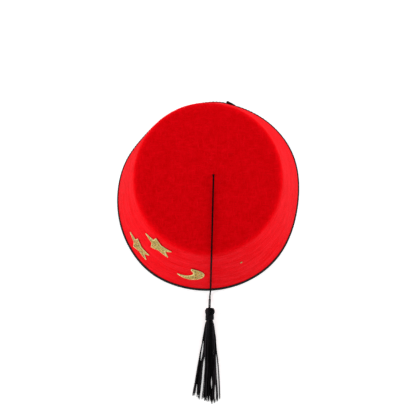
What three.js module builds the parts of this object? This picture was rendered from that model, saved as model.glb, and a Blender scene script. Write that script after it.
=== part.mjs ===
// A felt fez, standing on its rim as on a table: a domed cap of red felt, a black tape bound over the edge,
// two glitter stars and a crescent on the wall, and a thin cord that comes out of the crown, lies over the
// dome and down the front, and ends in a black tassel lying before the hat.
import * as THREE from "three";
import { TessellateModifier } from "three/addons/modifiers/TessellateModifier.js";

// Frame: millimetres, +Z up. The tape stands on z = 0 and the front of the hat faces -Y.
// An angle round the hat is in degrees from the front, and grows towards +X.

// The felt cap, measured on its outer face. It is drawn round first, and then pushed to its real outline.
const hatHeight = 100;
const feltThickness = 2;
const feltFoot = 1.3; // the felt's lower edge stands this high, inside the tape
const wallTop = 86; // where the straight wall goes over into the rounded edge
const rimRadius = 95.4;
const rimOval = 2.9; // added front and back, taken away at the sides
const shoulderRadius = 74;
const shoulderOval = 1.3;
const domeStart = { radius: 60, z: 97 }; // where the rounded edge goes over into the low dome
const edgeCorner = { radius: 71.5, z: 95.9 }; // the corner that the rounded edge cuts off
const domeRadii = [48, 34, 20, 8]; // rings of vertices between the rounded edge and the hole
const edgeSteps = 6;
const wallSteps = 3;
const hatSides = 72;
// The soft wall bulges and dents at the rim, less and less towards the crown.
const rimBends = [
  { at: 130, out: 4.5, spread: 36 },
  { at: -134, out: -3.6, spread: 18 },
  { at: -54, out: 3.3, spread: 40 },
];
const hatShift = { x: 0, y: -0.2 }; // brings the middle of the finished hat over the origin

// The binding tape
const tapeThickness = 0.8;
const tapeHeight = 5.6;
const tapeSides = 96;
const tapeLap = { at: 168.5, length: 9, rise: 1.8 }; // the lapped end, in degrees round the rim

// The glitter shapes, as they are cut flat. Turned is anticlockwise, seen from outside.
const glitterThickness = 0.7;
const glitterFacet = 8; // no edge of a patch is longer, so that it follows the wall
const star = { tips: 5, tipRadius: 17.3, notchRadius: 8.4, flattened: 0.87 };
const stars = [
  { name: "star_upper", at: -37.3, height: 70.9, turned: 14.2 },
  { name: "star_lower", at: -50, height: 30.5, turned: 16.1 },
];
const crescent = { at: -12, height: 41.7, turned: 161.4, radius: 14.2, biteRadius: 10.85, biteOffset: 7.5 };
const hornCut = { upper: 30, lower: 4 }; // how far the horns stop short of their points, in degrees
const arcSteps = 14;

// The cord and its knots
const cordDiameter = 1.7;
const cordSides = 8;
const cordSteps = 60;
const cordHole = { x: 5.3, y: 0.2, radius: 1.4 };
const stopKnotRadius = 2.4;
const endKnotRadius = 1.4;
const knotSegments = { around: 12, upwards: 8 };
// The middle of the cord: out of the hole, over the dome, down the front wall and out over the floor.
const cordRoute = [
  [5.3, 0.2, 97.9],
  [5.3, 0.2, 99.6],
  [5.3, -0.8, 102.1],
  [5.2, -3.2, 103.2],
  [5.1, -6.4, 102.6],
  [5.0, -10.0, 101.7],
  [4.9, -14.5, 101.2],
  [4.6, -26.0, 100.8],
  [4.3, -38.0, 100.2],
  [4.0, -50.0, 99.4],
  [3.8, -58.0, 98.7],
  [3.6, -64.2, 97.9],
  [3.5, -69.2, 96.1],
  [3.4, -73.0, 93.5],
  [3.3, -75.4, 90.2],
  [3.3, -77.0, 86.0],
  [3.1, -81.1, 71.0],
  [3.0, -86.6, 51.0],
  [2.8, -92.0, 31.0],
  [2.7, -96.4, 15.5],
  [2.7, -98.6, 10.0],
  [2.6, -99.6, 7.4],
  [2.5, -100.4, 4.8],
  [2.4, -101.3, 2.8],
  [2.2, -102.8, 1.5],
  [1.9, -105.2, 1.0],
];

// The tassel lies along its own -Y axis, from the top of its head. Each row is a cross-section of the bundle.
const tassel = { x: 1.5, y: -117.2, lean: -2 };
const bundleSides = 20;
const bundle = [
  { along: 0.5, halfWidth: 2.6, halfHeight: 2.6, middle: 5.2 },
  { along: 2.0, halfWidth: 4.5, halfHeight: 4.5, middle: 5.2 },
  { along: 4.4, halfWidth: 5.2, halfHeight: 5.2, middle: 5.2 },
  { along: 6.8, halfWidth: 4.7, halfHeight: 4.7, middle: 5.0 },
  { along: 8.2, halfWidth: 3.5, halfHeight: 3.5, middle: 4.8 },
  { along: 13.6, halfWidth: 3.5, halfHeight: 3.5, middle: 4.8 },
  { along: 16.0, halfWidth: 4.7, halfHeight: 4.2, middle: 4.6 },
  { along: 26.0, halfWidth: 6.9, halfHeight: 4.2, middle: 4.2 },
  { along: 42.0, halfWidth: 9.3, halfHeight: 3.6, middle: 3.6 },
  { along: 60.0, halfWidth: 11.6, halfHeight: 3.0, middle: 3.0 },
  { along: 78.0, halfWidth: 13.4, halfHeight: 2.5, middle: 2.5 },
  { along: 90.0, halfWidth: 13.6, halfHeight: 2.2, middle: 2.2 },
  { along: 93.5, halfWidth: 11.0, halfHeight: 1.6, middle: 1.9 },
];
const wrap = { from: 8.8, to: 13.0, thickness: 0.6, bulge: 0.2 };
const loop = { length: 9.2, width: 2.6, strand: 0.75, thickness: 0.8, low: 1.2, high: 4.6, arcSteps: 5 };

const gap = 0.3; // what touching pieces keep between them
const sameAngle = 0.01; // degrees within which a vertex counts as at an angle

const felt = new THREE.MeshStandardMaterial({ color: 0xd4081a, roughness: 0.95 });
const tape = new THREE.MeshStandardMaterial({ color: 0x131518, roughness: 0.8 });
const glitter = new THREE.MeshStandardMaterial({ color: 0xb9a85c, roughness: 0.5, metalness: 0.6 });
const thread = new THREE.MeshStandardMaterial({ color: 0x111113, roughness: 0.6 });

const wallLean = Math.atan((rimRadius - shoulderRadius) / wallTop);

// The radius of the round wall at a height, with a layer's surface this far out from the felt's outer face.
function wallRadius(z, out = 0) {
  return THREE.MathUtils.mapLinear(z, 0, wallTop, rimRadius, shoulderRadius) + out / Math.cos(wallLean);
}

function degreesBetween(a, b) {
  return THREE.MathUtils.euclideanModulo(a - b + 180, 360) - 180;
}

// How far the real outline stands outside the round one.
function standOut(angle, radius, z) {
  const low = THREE.MathUtils.clamp(1 - z / wallTop, 0, 1);
  const oval = Math.cos(2 * THREE.MathUtils.degToRad(angle));
  let atRim = rimOval * oval;
  for (const { at, out, spread } of rimBends) {
    atRim += out * Math.exp(-((degreesBetween(angle, at) / spread) ** 2));
  }
  const atCrown = shoulderOval * oval * Math.min(radius / shoulderRadius, 1);
  return THREE.MathUtils.lerp(atCrown, atRim, low);
}

// Moves every vertex of a geometry.
function eachVertex(geometry, move) {
  const position = geometry.getAttribute("position");
  const point = new THREE.Vector3();
  for (let i = 0; i < position.count; i++) {
    point.fromBufferAttribute(position, i);
    move(point);
    position.setXYZ(i, point.x, point.y, point.z);
  }
  geometry.deleteAttribute("uv");
  geometry.computeVertexNormals();
  return geometry;
}

// Pushes something drawn round the Z axis to the hat's real outline, with the cord's hole beside the middle.
function toOutline(geometry) {
  return eachVertex(geometry, (point) => {
    const radius = Math.hypot(point.x, point.y);
    const angle = Math.atan2(point.x, -point.y);
    const real = radius + standOut(THREE.MathUtils.radToDeg(angle), radius, point.z);
    const middle = Math.max(0, 1 - radius / domeStart.radius) ** 2;
    point.x = real * Math.sin(angle) + hatShift.x + middle * (cordHole.x - hatShift.x);
    point.y = -real * Math.cos(angle) + hatShift.y + middle * (cordHole.y - hatShift.y);
  });
}

// A body of revolution round the Z axis from a profile of (radius, z), with a column of vertices at that angle.
function turned(profile, sides, firstAngle = 0) {
  const geometry = new THREE.LatheGeometry(profile, sides, THREE.MathUtils.degToRad(firstAngle));
  return geometry.rotateX(Math.PI / 2);
}

function namedMesh(name, geometry, material) {
  const mesh = new THREE.Mesh(geometry, material);
  mesh.name = name;
  return mesh;
}

// The height of the dome's outer face at a radius.
function domeHeight(radius) {
  return hatHeight - (hatHeight - domeStart.z) * (radius / domeStart.radius) ** 2;
}

// The felt's outer face, from the foot to the hole.
function feltProfile() {
  const points = [];
  for (let i = 0; i < wallSteps; i++) {
    const z = THREE.MathUtils.lerp(feltFoot, wallTop, i / wallSteps);
    points.push(new THREE.Vector2(wallRadius(z), z));
  }
  const edge = new THREE.QuadraticBezierCurve(
    new THREE.Vector2(shoulderRadius, wallTop),
    new THREE.Vector2(edgeCorner.radius, edgeCorner.z),
    new THREE.Vector2(domeStart.radius, domeStart.z),
  );
  points.push(...edge.getPoints(edgeSteps));
  for (const radius of [...domeRadii, cordHole.radius]) {
    points.push(new THREE.Vector2(radius, domeHeight(radius)));
  }
  return points;
}

// The same profile moved inwards, square to the line from neighbour to neighbour.
function insideOf(profile, distance) {
  return profile.map((point, i) => {
    const before = profile[Math.max(i - 1, 0)];
    const after = profile[Math.min(i + 1, profile.length - 1)];
    const along = after.clone().sub(before).normalize();
    return new THREE.Vector2(point.x - along.y * distance, point.y + along.x * distance);
  });
}

// The inner face ends on the same level as the outer one at the foot, and on the same radius at the hole.
function hatBody() {
  const outer = feltProfile();
  const inner = insideOf(outer, feltThickness);
  inner[0].set(wallRadius(feltFoot, -feltThickness), feltFoot);
  inner[inner.length - 1].x = cordHole.radius;
  const profile = [...outer, ...inner.reverse(), outer[0].clone()];
  return namedMesh("hat_body", toOutline(turned(profile, hatSides)), felt);
}

// A U of tape over the felt's lower edge, thicker on the outside where its end is lapped.
function rimBinding() {
  const outside = gap + tapeThickness;
  const corners = [
    { z: 0, out: outside },
    { z: tapeHeight, out: outside },
    { z: tapeHeight, out: gap },
    { z: tapeThickness, out: gap },
    { z: tapeThickness, out: -feltThickness - gap },
    { z: tapeHeight, out: -feltThickness - gap },
    { z: tapeHeight, out: -feltThickness - outside },
    { z: 0, out: -feltThickness - outside },
    { z: 0, out: outside },
  ];
  const profile = corners.map(({ z, out }) => new THREE.Vector2(wallRadius(z, out), z));
  const ring = turned(profile, tapeSides, tapeLap.at);
  eachVertex(ring, (point) => {
    const angle = Math.atan2(point.x, -point.y);
    const pastEnd = degreesBetween(tapeLap.at, THREE.MathUtils.radToDeg(angle));
    const onOutside = Math.hypot(point.x, point.y) > wallRadius(point.z, gap + tapeThickness / 2);
    if (onOutside && pastEnd > -sameAngle && pastEnd < tapeLap.length) {
      const rise = tapeLap.rise * (1 - pastEnd / tapeLap.length);
      point.x += rise * Math.sin(angle);
      point.y -= rise * Math.cos(angle);
    }
  });
  return namedMesh("rim_binding", toOutline(ring), tape);
}

// Cuts a flat shape out of glitter sheet and lays it on the wall, its middle at that angle and height.
function patchOnWall(name, shape, at, height) {
  const sheet = new THREE.ExtrudeGeometry(shape, { depth: glitterThickness, bevelEnabled: false });
  const cut = new TessellateModifier(glitterFacet).modify(sheet);
  eachVertex(cut, (point) => {
    const z = height + point.y * Math.cos(wallLean);
    const radius = wallRadius(z, gap + point.z);
    const angle = THREE.MathUtils.degToRad(at) + point.x / wallRadius(z);
    point.set(radius * Math.sin(angle), -radius * Math.cos(angle), z);
  });
  return namedMesh(name, toOutline(cut), glitter);
}

function onCircle(radius, degrees, x = 0, y = 0) {
  const angle = THREE.MathUtils.degToRad(degrees);
  return new THREE.Vector2(x + radius * Math.cos(angle), y + radius * Math.sin(angle));
}

function starShape(turnedBy) {
  const points = [];
  for (let i = 0; i < 2 * star.tips; i++) {
    const radius = i % 2 ? star.notchRadius : star.tipRadius;
    const corner = onCircle(radius, 90 + turnedBy + (180 * i) / star.tips);
    points.push(corner.setY(corner.y * star.flattened));
  }
  return new THREE.Shape(points);
}

// A disc with a round bite out of it, towards the direction that it is turned to, and blunt horns.
function crescentShape() {
  const { radius, biteRadius, biteOffset, turned: opening } = crescent;
  const toHorn = (near, far) =>
    THREE.MathUtils.radToDeg(Math.acos((near ** 2 + biteOffset ** 2 - far ** 2) / (2 * near * biteOffset)));
  const outerHorn = toHorn(radius, biteRadius);
  const innerHorn = 180 - toHorn(biteRadius, radius);
  const bite = onCircle(biteOffset, opening);
  const points = [];
  for (let i = 0; i <= arcSteps; i++) {
    const start = opening + outerHorn + hornCut.lower;
    const sweep = start + ((360 - 2 * outerHorn - hornCut.lower - hornCut.upper) * i) / arcSteps;
    points.push(onCircle(radius, sweep));
  }
  const toBite = radius / biteRadius;
  const cutOnBite = { upper: hornCut.upper * toBite, lower: hornCut.lower * toBite };
  for (let i = 0; i <= arcSteps; i++) {
    const start = opening - innerHorn - cutOnBite.upper;
    const sweep = start - ((360 - 2 * innerHorn - cutOnBite.upper - cutOnBite.lower) * i) / arcSteps;
    points.push(onCircle(biteRadius, sweep, bite.x, bite.y));
  }
  return new THREE.Shape(points);
}

function cordTube() {
  const section = new THREE.Shape();
  for (let i = 0; i < cordSides; i++) {
    const corner = onCircle(cordDiameter / 2, (360 * i) / cordSides);
    if (i === 0) section.moveTo(corner.x, corner.y);
    else section.lineTo(corner.x, corner.y);
  }
  const path = new THREE.CatmullRomCurve3(cordRoute.map((point) => new THREE.Vector3(...point)));
  const tube = new THREE.ExtrudeGeometry(section, { steps: cordSteps, extrudePath: path });
  return namedMesh("tassel_cord", tube, thread);
}

function knot(name, radius, x, y, z) {
  const ball = new THREE.SphereGeometry(radius, knotSegments.around, knotSegments.upwards);
  const mesh = namedMesh(name, ball, thread);
  mesh.position.set(x, y, z);
  return mesh;
}

// A value of the bundle's table between its rows.
function bundleAt(along, column) {
  const next = Math.max(1, bundle.findIndex((row) => row.along >= along));
  const [a, b] = [bundle[next - 1], bundle[next]];
  const share = THREE.MathUtils.clamp((along - a.along) / (b.along - a.along), 0, 1);
  return THREE.MathUtils.lerp(a[column], b[column], share);
}

// The strands as one body: a rod of radius 1 whose sections are stretched to the table's sizes.
function tasselStrands() {
  const last = bundle[bundle.length - 1].along;
  const profile = bundle.map((row) => new THREE.Vector2(1, -row.along));
  profile.unshift(new THREE.Vector2(0, -bundle[0].along));
  profile.push(new THREE.Vector2(0, -last));
  const rod = new THREE.LatheGeometry(profile.reverse(), bundleSides);
  eachVertex(rod, (point) => {
    const along = Math.min(-point.y, last);
    point.x *= bundleAt(along, "halfWidth");
    point.z = bundleAt(along, "middle") + point.z * bundleAt(along, "halfHeight");
  });
  return namedMesh("tassel_strands", rod, thread);
}

function tasselWrap() {
  const inner = bundleAt(wrap.from, "halfWidth") + gap;
  const outer = inner + wrap.thickness;
  const profile = [
    new THREE.Vector2(inner, -wrap.to),
    new THREE.Vector2(outer, -wrap.to),
    new THREE.Vector2(outer + wrap.bulge, -(wrap.from + wrap.to) / 2),
    new THREE.Vector2(outer, -wrap.from),
    new THREE.Vector2(inner, -wrap.from),
    new THREE.Vector2(inner, -wrap.to),
  ];
  const ring = namedMesh("tassel_wrap", new THREE.LatheGeometry(profile, bundleSides), thread);
  ring.position.z = bundleAt(wrap.from, "middle");
  return ring;
}

// The flat loop that the tassel hangs by: it rises from the knot on the floor to the middle of the head.
function tasselLoop() {
  const round = loop.width / 2;
  const straight = loop.length - loop.width;
  const racetrack = (path, radius) => {
    path.absarc(0, straight / 2, radius, 0, Math.PI);
    path.absarc(0, -straight / 2, radius, Math.PI, 2 * Math.PI);
    return path;
  };
  const outline = racetrack(new THREE.Shape(), round);
  outline.holes.push(racetrack(new THREE.Path(), round - loop.strand));
  const ring = new THREE.ExtrudeGeometry(outline, {
    depth: loop.thickness,
    bevelEnabled: false,
    curveSegments: loop.arcSteps,
  });
  ring.translate(0, 0, -loop.thickness / 2);
  const mesh = namedMesh("tassel_loop", ring, thread);
  const run = Math.sqrt(loop.length ** 2 - (loop.high - loop.low) ** 2);
  mesh.position.set(0, run / 2 - bundle[0].along + gap, (loop.low + loop.high) / 2);
  mesh.rotation.x = -Math.atan2(loop.high - loop.low, run);
  return mesh;
}

function tasselGroup() {
  const group = new THREE.Group();
  group.position.set(tassel.x, tassel.y, 0);
  group.rotation.z = THREE.MathUtils.degToRad(tassel.lean);
  group.add(tasselStrands(), tasselWrap(), tasselLoop());
  return group;
}

const hat = new THREE.Group();
hat.add(hatBody(), rimBinding());
for (const { name, at, height, turned: by } of stars) {
  hat.add(patchOnWall(name, starShape(by), at, height));
}
hat.add(patchOnWall("crescent", crescentShape(), crescent.at, crescent.height));

const cordStart = cordRoute[0];
const cordEnd = cordRoute[cordRoute.length - 1];
const fez = new THREE.Group();
fez.add(
  hat,
  cordTube(),
  knot("stop_knot", stopKnotRadius, cordStart[0], cordStart[1], cordStart[2] - gap - stopKnotRadius),
  knot("end_knot", endKnotRadius, cordEnd[0], cordEnd[1] - gap - endKnotRadius, endKnotRadius),
  tasselGroup(),
);

export default fez;
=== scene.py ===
# The finish of a felt fez: moulded felt, bound rim, glitter shapes, twisted cord and tassel, built around the
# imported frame. It is laid out as an add-on and run as a script. Lengths are metres, +Z is up, and an angle
# round the hat is measured from its front (-Y) and grows towards +X.
import math

import bmesh
import bpy
import numpy as np
from bpy.props import FloatProperty, FloatVectorProperty, IntProperty, PointerProperty
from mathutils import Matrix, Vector
from mathutils.geometry import delaunay_2d_cdt


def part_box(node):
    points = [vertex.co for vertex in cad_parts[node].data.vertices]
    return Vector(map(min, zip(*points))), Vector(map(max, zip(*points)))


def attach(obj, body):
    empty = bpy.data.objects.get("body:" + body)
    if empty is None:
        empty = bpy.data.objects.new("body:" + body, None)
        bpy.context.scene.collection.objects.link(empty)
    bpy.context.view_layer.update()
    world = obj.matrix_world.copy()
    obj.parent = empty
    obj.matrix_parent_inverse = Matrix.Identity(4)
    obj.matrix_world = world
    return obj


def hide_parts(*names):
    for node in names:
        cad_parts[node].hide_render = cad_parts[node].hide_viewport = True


bl_info = {
    "name": "Felt fez",
    "version": (1, 0, 0),
    "blender": (4, 5, 0),
    "location": "View3D > Sidebar > Fez",
    "description": "Builds the felt, tape, glitter, cord and tassel of a fez around its packed frame",
    "category": "Add Mesh",
}

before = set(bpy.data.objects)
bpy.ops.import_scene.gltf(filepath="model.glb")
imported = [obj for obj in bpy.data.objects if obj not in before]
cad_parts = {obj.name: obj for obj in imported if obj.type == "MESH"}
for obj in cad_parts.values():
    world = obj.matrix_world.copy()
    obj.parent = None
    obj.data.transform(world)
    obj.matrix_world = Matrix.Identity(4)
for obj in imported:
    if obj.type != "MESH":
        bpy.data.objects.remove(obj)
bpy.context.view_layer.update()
FELT_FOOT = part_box("hat_body")[0].z
TAPE_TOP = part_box("rim_binding")[1].z

BODY = "root"
MM = 0.001
TURN = 2 * math.pi

# The soft wall bulges and dents at the rim, less and less towards the crown.
RIM_BENDS = [
    {"at": 130.0, "out": 4.5 * MM, "spread": 36.0},
    {"at": -134.0, "out": -3.6 * MM, "spread": 18.0},
    {"at": -54.0, "out": 3.3 * MM, "spread": 40.0},
    {"at": 46.0, "out": 1.8 * MM, "spread": 24.0},
    {"at": 112.0, "out": 1.4 * MM, "spread": 20.0},
    {"at": -35.0, "out": 1.3 * MM, "spread": 18.0},
    {"at": 5.0, "out": 0.4 * MM, "spread": 25.0},
    {"at": 173.0, "out": 1.2 * MM, "spread": 9.0},
    {"at": -153.0, "out": -0.6 * MM, "spread": 10.0},
]
HAT_SHIFT_Y = -0.2 * MM
CORD_HOLE = {"x": 5.3 * MM, "y": 0.2 * MM, "radius": 1.0 * MM, "lip": 0.5 * MM}

# The glitter shapes. Turned is anticlockwise, seen from outside, in degrees.
STARS = [
    {"node": "star_upper", "at": -37.3, "height": 70.9 * MM, "turned": 14.2, "seed": 11},
    {"node": "star_lower", "at": -50.0, "height": 30.5 * MM, "turned": 16.1, "seed": 12},
]
STAR = {"tips": 5, "tip_radius": 17.3 * MM, "notch_radius": 8.4 * MM, "flattened": 0.87}
CRESCENT = {"at": -12.0, "height": 41.7 * MM, "turned": 161.4, "radius": 14.2 * MM,
            "bite_radius": 10.85 * MM, "bite_offset": 7.5 * MM, "upper_cut": 30.0, "lower_cut": 4.0}
LOST_FLAKE = {"at": 22.8, "height": 55.5 * MM, "size": 1.1 * MM}

# The middle of the cord, in millimetres: out of the hole, over the dome, down the front wall and out
# over the floor.
CORD_ROUTE = [
    (5.3, 0.2, 97.9),
    (5.3, 0.2, 99.6),
    (5.3, -0.8, 102.1),
    (5.2, -3.2, 103.2),
    (5.1, -6.4, 102.6),
    (5.0, -10.0, 101.7),
    (4.9, -14.5, 101.2),
    (4.6, -26.0, 100.8),
    (4.3, -38.0, 100.2),
    (4.0, -50.0, 99.4),
    (3.8, -58.0, 98.7),
    (3.6, -64.2, 97.9),
    (3.5, -69.2, 96.1),
    (3.4, -73.0, 93.5),
    (3.3, -75.4, 90.2),
    (3.3, -77.0, 86.0),
    (3.1, -81.1, 71.0),
    (3.0, -86.6, 51.0),
    (2.8, -92.0, 31.0),
    (2.7, -96.4, 15.5),
    (2.7, -98.6, 10.0),
    (2.6, -99.6, 7.4),
    (2.5, -100.4, 4.8),
    (2.4, -101.3, 2.8),
    (2.2, -102.8, 1.5),
    (1.9, -105.2, 1.0),
]

# The tassel lies along its own axis, from the top of its head. Each row is a cross-section of the bundle,
# in millimetres.
TASSEL = {"x": 1.5 * MM, "y": -117.2 * MM, "lean": -2.0}
BUNDLE = [
    {"along": 0.4, "half_width": 3.0, "middle": 5.2},
    {"along": 1.6, "half_width": 4.6, "middle": 5.2},
    {"along": 3.4, "half_width": 5.2, "middle": 5.2},
    {"along": 5.6, "half_width": 5.0, "middle": 5.1},
    {"along": 7.4, "half_width": 3.9, "middle": 4.8},
    {"along": 13.6, "half_width": 3.6, "middle": 4.8},
    {"along": 16.0, "half_width": 4.6, "middle": 4.6},
    {"along": 26.0, "half_width": 6.8, "middle": 4.2},
    {"along": 42.0, "half_width": 9.2, "middle": 3.6},
    {"along": 60.0, "half_width": 11.6, "middle": 3.0},
    {"along": 78.0, "half_width": 13.4, "middle": 2.5},
    {"along": 98.0, "half_width": 14.0, "middle": 2.2},
]
HEAD_ASIDE = 0.6
# How the skirt spreads and parts, in millimetres from the tassel's axis. Share counts the strands from the
# left edge, and open is half the width of a parting.
SKIRT_ALONG = (14, 30, 37, 43, 50, 56, 64, 75, 82, 88, 96)
SKIRT_EDGES = {
    "left": (-3.0, -5.7, -6.5, -7.6, -8.8, -9.8, -10.8, -12.0, -13.0, -13.8, -14.6),
    "right": (4.6, 7.9, 8.7, 9.4, 10.3, 11.1, 12.0, 13.0, 13.6, 14.0, 14.4),
}
PARTINGS = [
    {"share": 0.05, "across": (-2.8, -5.3, -6.1, -7.2, -8.3, -9.3, -10.4, -11.8, -12.7, -13.2, -13.6),
     "open": (0, 0, 0, 0, 0, 0, 0, 0.1, 0.3, 0.35, 0.4)},
    {"share": 0.11, "across": (-2.5, -4.8, -5.4, -5.9, -6.5, -7.4, -8.5, -10.1, -10.4, -10.6, -10.9),
     "open": (0, 0, 0.5, 0.75, 0.5, 0, 0, 0, 0.45, 0.45, 0.4)},
    {"share": 0.29, "across": (-1.5, -2.6, -2.8, -3.0, -3.2, -3.5, -3.9, -4.5, -4.9, -5.2, -5.6),
     "open": (0, 0, 0, 0, 0.2, 0.65, 0.85, 0.9, 0.85, 0.75, 0.7)},
    {"share": 0.66, "across": (1.7, 3.0, 3.3, 3.6, 3.9, 4.1, 4.4, 4.7, 4.9, 5.1, 5.4),
     "open": (0, 0, 0, 0, 0, 0, 0, 0.5, 0.15, 0, 0.2)},
    {"share": 0.85, "across": (3.2, 5.7, 6.2, 6.6, 7.1, 7.5, 8.0, 8.6, 8.9, 9.2, 9.6),
     "open": (0, 0, 0, 0, 0, 0, 0, 0, 0.4, 0.7, 0.5)},
    {"share": 0.94, "across": (4.1, 7.0, 7.6, 8.1, 8.8, 9.4, 10.2, 11.4, 12.0, 12.5, 12.9),
     "open": (0, 0, 0, 0.1, 0.5, 0.6, 0.6, 0.6, 0.6, 0.55, 0.4)},
]


def length_property(name, description, default):
    return FloatProperty(name=name, description=description, default=default, unit="LENGTH")


def colour_property(name, description, default):
    return FloatVectorProperty(name=name, description=description, default=default, subtype="COLOR")


class FezSizes(bpy.types.PropertyGroup):
    """Sizes of the hat's own pieces"""

    rim_radius: length_property("Rim radius", "Mean radius of the felt's outer face at the floor", 95.4 * MM)
    rim_oval: length_property(
        "Rim oval", "Added to the rim's radius front and back, taken away at the sides", 2.9 * MM)
    shoulder_radius: length_property("Shoulder radius", "Mean radius where the straight wall ends", 74 * MM)
    shoulder_oval: length_property("Shoulder oval", "Added to the shoulder's radius front and back", 1.3 * MM)
    wall_top: length_property(
        "Wall top", "Height where the straight wall goes over into the rounded edge", 86 * MM)
    edge_radius: length_property(
        "Edge corner radius", "Radius of the corner that the rounded edge cuts off", 71.5 * MM)
    edge_height: length_property(
        "Edge corner height", "Height of the corner that the rounded edge cuts off", 95.9 * MM)
    dome_radius: length_property(
        "Dome radius", "Radius where the rounded edge goes over into the low dome", 60 * MM)
    dome_foot: length_property("Dome foot", "Height where the low dome starts", 97 * MM)
    dome_top: length_property("Dome top", "Height of the crown", 100 * MM)
    felt_foot: length_property("Felt foot", "Height of the felt's lower edge, inside the tape", FELT_FOOT)
    felt_thickness: length_property("Felt thickness", "Thickness of the felt", 2 * MM)
    felt_unevenness: length_property("Felt unevenness", "How far the felt's face swells and dips", 0.22 * MM)
    tape_height: length_property("Tape height", "Height of the binding tape on the wall", TAPE_TOP)
    tape_thickness: length_property("Tape thickness", "Thickness of the binding tape", 0.6 * MM)
    stitch_pitch: length_property("Stitch pitch", "Distance from stitch to stitch along the tape", 3.4 * MM)
    sheet_thickness: length_property("Glitter sheet thickness", "Thickness of the glitter shapes", 0.7 * MM)
    flake_size: length_property("Flake size", "Mean radius of a glitter flake", 0.4 * MM)
    cord_diameter: length_property("Cord diameter", "Diameter of the crown cord", 1.7 * MM)
    strand_diameter: length_property("Strand diameter", "Diameter of a strand of the tassel", 1.2 * MM)
    strand_count: IntProperty(
        name="Strands", description="Strands in each of the tassel's three layers", default=16, min=6)
    fibre_count: IntProperty(
        name="Felt fibres", description="Loose fibres that stand off the felt", default=9000, min=0)


class FezColours(bpy.types.PropertyGroup):
    """Colours of the finishes"""

    # Deep and bright red: on the felt cap they are mixed by the nap's height, painted shade in its hollows
    # and painted light on its raised fibres, with cloudy patches of random tone; on the loose fibres, by
    # random tone alone.
    felt_deep: colour_property("Deep red", "Felt in its hollows", (0.56, 0.0004, 0.0016))
    felt_bright: colour_property("Bright red", "Felt on its raised fibres", (0.76, 0.0016, 0.006))
    # Painted sheen: a pale pink mixed into the felt's colour along the mould's lines and bands.
    felt_painted_sheen: colour_property("Felt painted sheen", "Sheen painted on the raised fibres along the lines of the mould", (0.9, 0.035, 0.055))
    felt_sheen: colour_property("Felt sheen", "Light caught by the loose fibres", (1.0, 0.42, 0.46))
    tape: colour_property("Tape", "Black binding tape", (0.006, 0.0065, 0.007))
    thread: colour_property("Thread", "Black rayon thread", (0.0008, 0.0007, 0.0009))
    # Painted highlight: mixed into the thread's colour on the ridges of its filaments.
    painted_thread_highlight: colour_property(
        "Painted thread highlight", "Thread where its filaments catch the light", (0.055, 0.047, 0.056))
    glitter_sheet: colour_property("Glitter sheet", "Pale cut edge of the glitter sheet", (0.70, 0.62, 0.24))
    floor: colour_property("Floor", "Pale studio floor", (0.88, 0.88, 0.88))


def sizes():
    return bpy.context.scene.fez_sizes


def colours():
    return bpy.context.scene.fez_colours


# ---------------------------------------------------------------- the hat's real outline


def wall_lean():
    size = sizes()
    return math.atan((size.rim_radius - size.shoulder_radius) / size.wall_top)


def wall_radius(z, out=0.0):
    """The radius of the round wall at a height, with a layer's surface this far out from the felt."""
    size = sizes()
    share = z / size.wall_top
    return size.rim_radius + (size.shoulder_radius - size.rim_radius) * share + out / math.cos(wall_lean())


def stand_out(angle, radius, z):
    """How far the real outline stands outside the round one."""
    size = sizes()
    low = np.clip(1 - z / size.wall_top, 0, 1)
    oval = np.cos(2 * angle)
    at_rim = size.rim_oval * oval
    for bend in RIM_BENDS:
        apart = (np.degrees(angle) - bend["at"] + 180) % 360 - 180
        at_rim = at_rim + bend["out"] * np.exp(-((apart / bend["spread"]) ** 2))
    at_crown = size.shoulder_oval * oval * np.minimum(radius / size.shoulder_radius, 1)
    return at_crown + (at_rim - at_crown) * low


def on_hat(angle, radius, z):
    """Points on the real outline for points drawn round the Z axis."""
    angle, radius, z = np.broadcast_arrays(angle, radius, z)
    real = radius + stand_out(angle, radius, z)
    middle = np.maximum(0, 1 - radius / sizes().dome_radius) ** 2
    x = real * np.sin(angle) + middle * CORD_HOLE["x"]
    y = -real * np.cos(angle) + HAT_SHIFT_Y + middle * (CORD_HOLE["y"] - HAT_SHIFT_Y)
    return np.stack([x, y, z], axis=-1)


def on_wall(places, at, height, out):
    """Lays flat places, across and up from a middle at that angle and height, on the wall."""
    across, up = places[:, 0], places[:, 1]
    z = height + up * math.cos(wall_lean())
    angle = math.radians(at) + across / wall_radius(z)
    return on_hat(angle, wall_radius(z, out), z)


# ---------------------------------------------------------------- mesh drafting


def unit(vectors):
    return vectors / np.maximum(np.linalg.norm(vectors, axis=-1, keepdims=True), 1e-12)


def travelled(path):
    """How far along a path each of its points lies."""
    return np.concatenate([[0], np.cumsum(np.linalg.norm(np.diff(path, axis=0), axis=1))])


def flat_grid(first, second):
    """Flat positions for the corners of a grid, from numbers that change along its rows or columns."""
    return np.stack(np.broadcast_arrays(first, second), axis=-1)


def ring_angles(count):
    return np.arange(count) * TURN / count


def ripple(points, wavelength, seed, waves=16):
    """Smooth unevenness of about -1 to 1 at each point: a sum of plane waves in random directions."""
    rng = np.random.default_rng(seed)
    directions = unit(rng.normal(size=(waves, 3)))
    lengths = wavelength * rng.uniform(0.7, 1.6, waves)
    phases = rng.uniform(0, TURN, waves)
    swell = np.sin(TURN * points @ (directions / lengths[:, None]).T + phases)
    return swell.sum(axis=-1) * 0.7 / math.sqrt(waves)


def new_object(name, data):
    thing = bpy.data.objects.new(name, data)
    bpy.context.scene.collection.objects.link(thing)
    return thing


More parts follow.
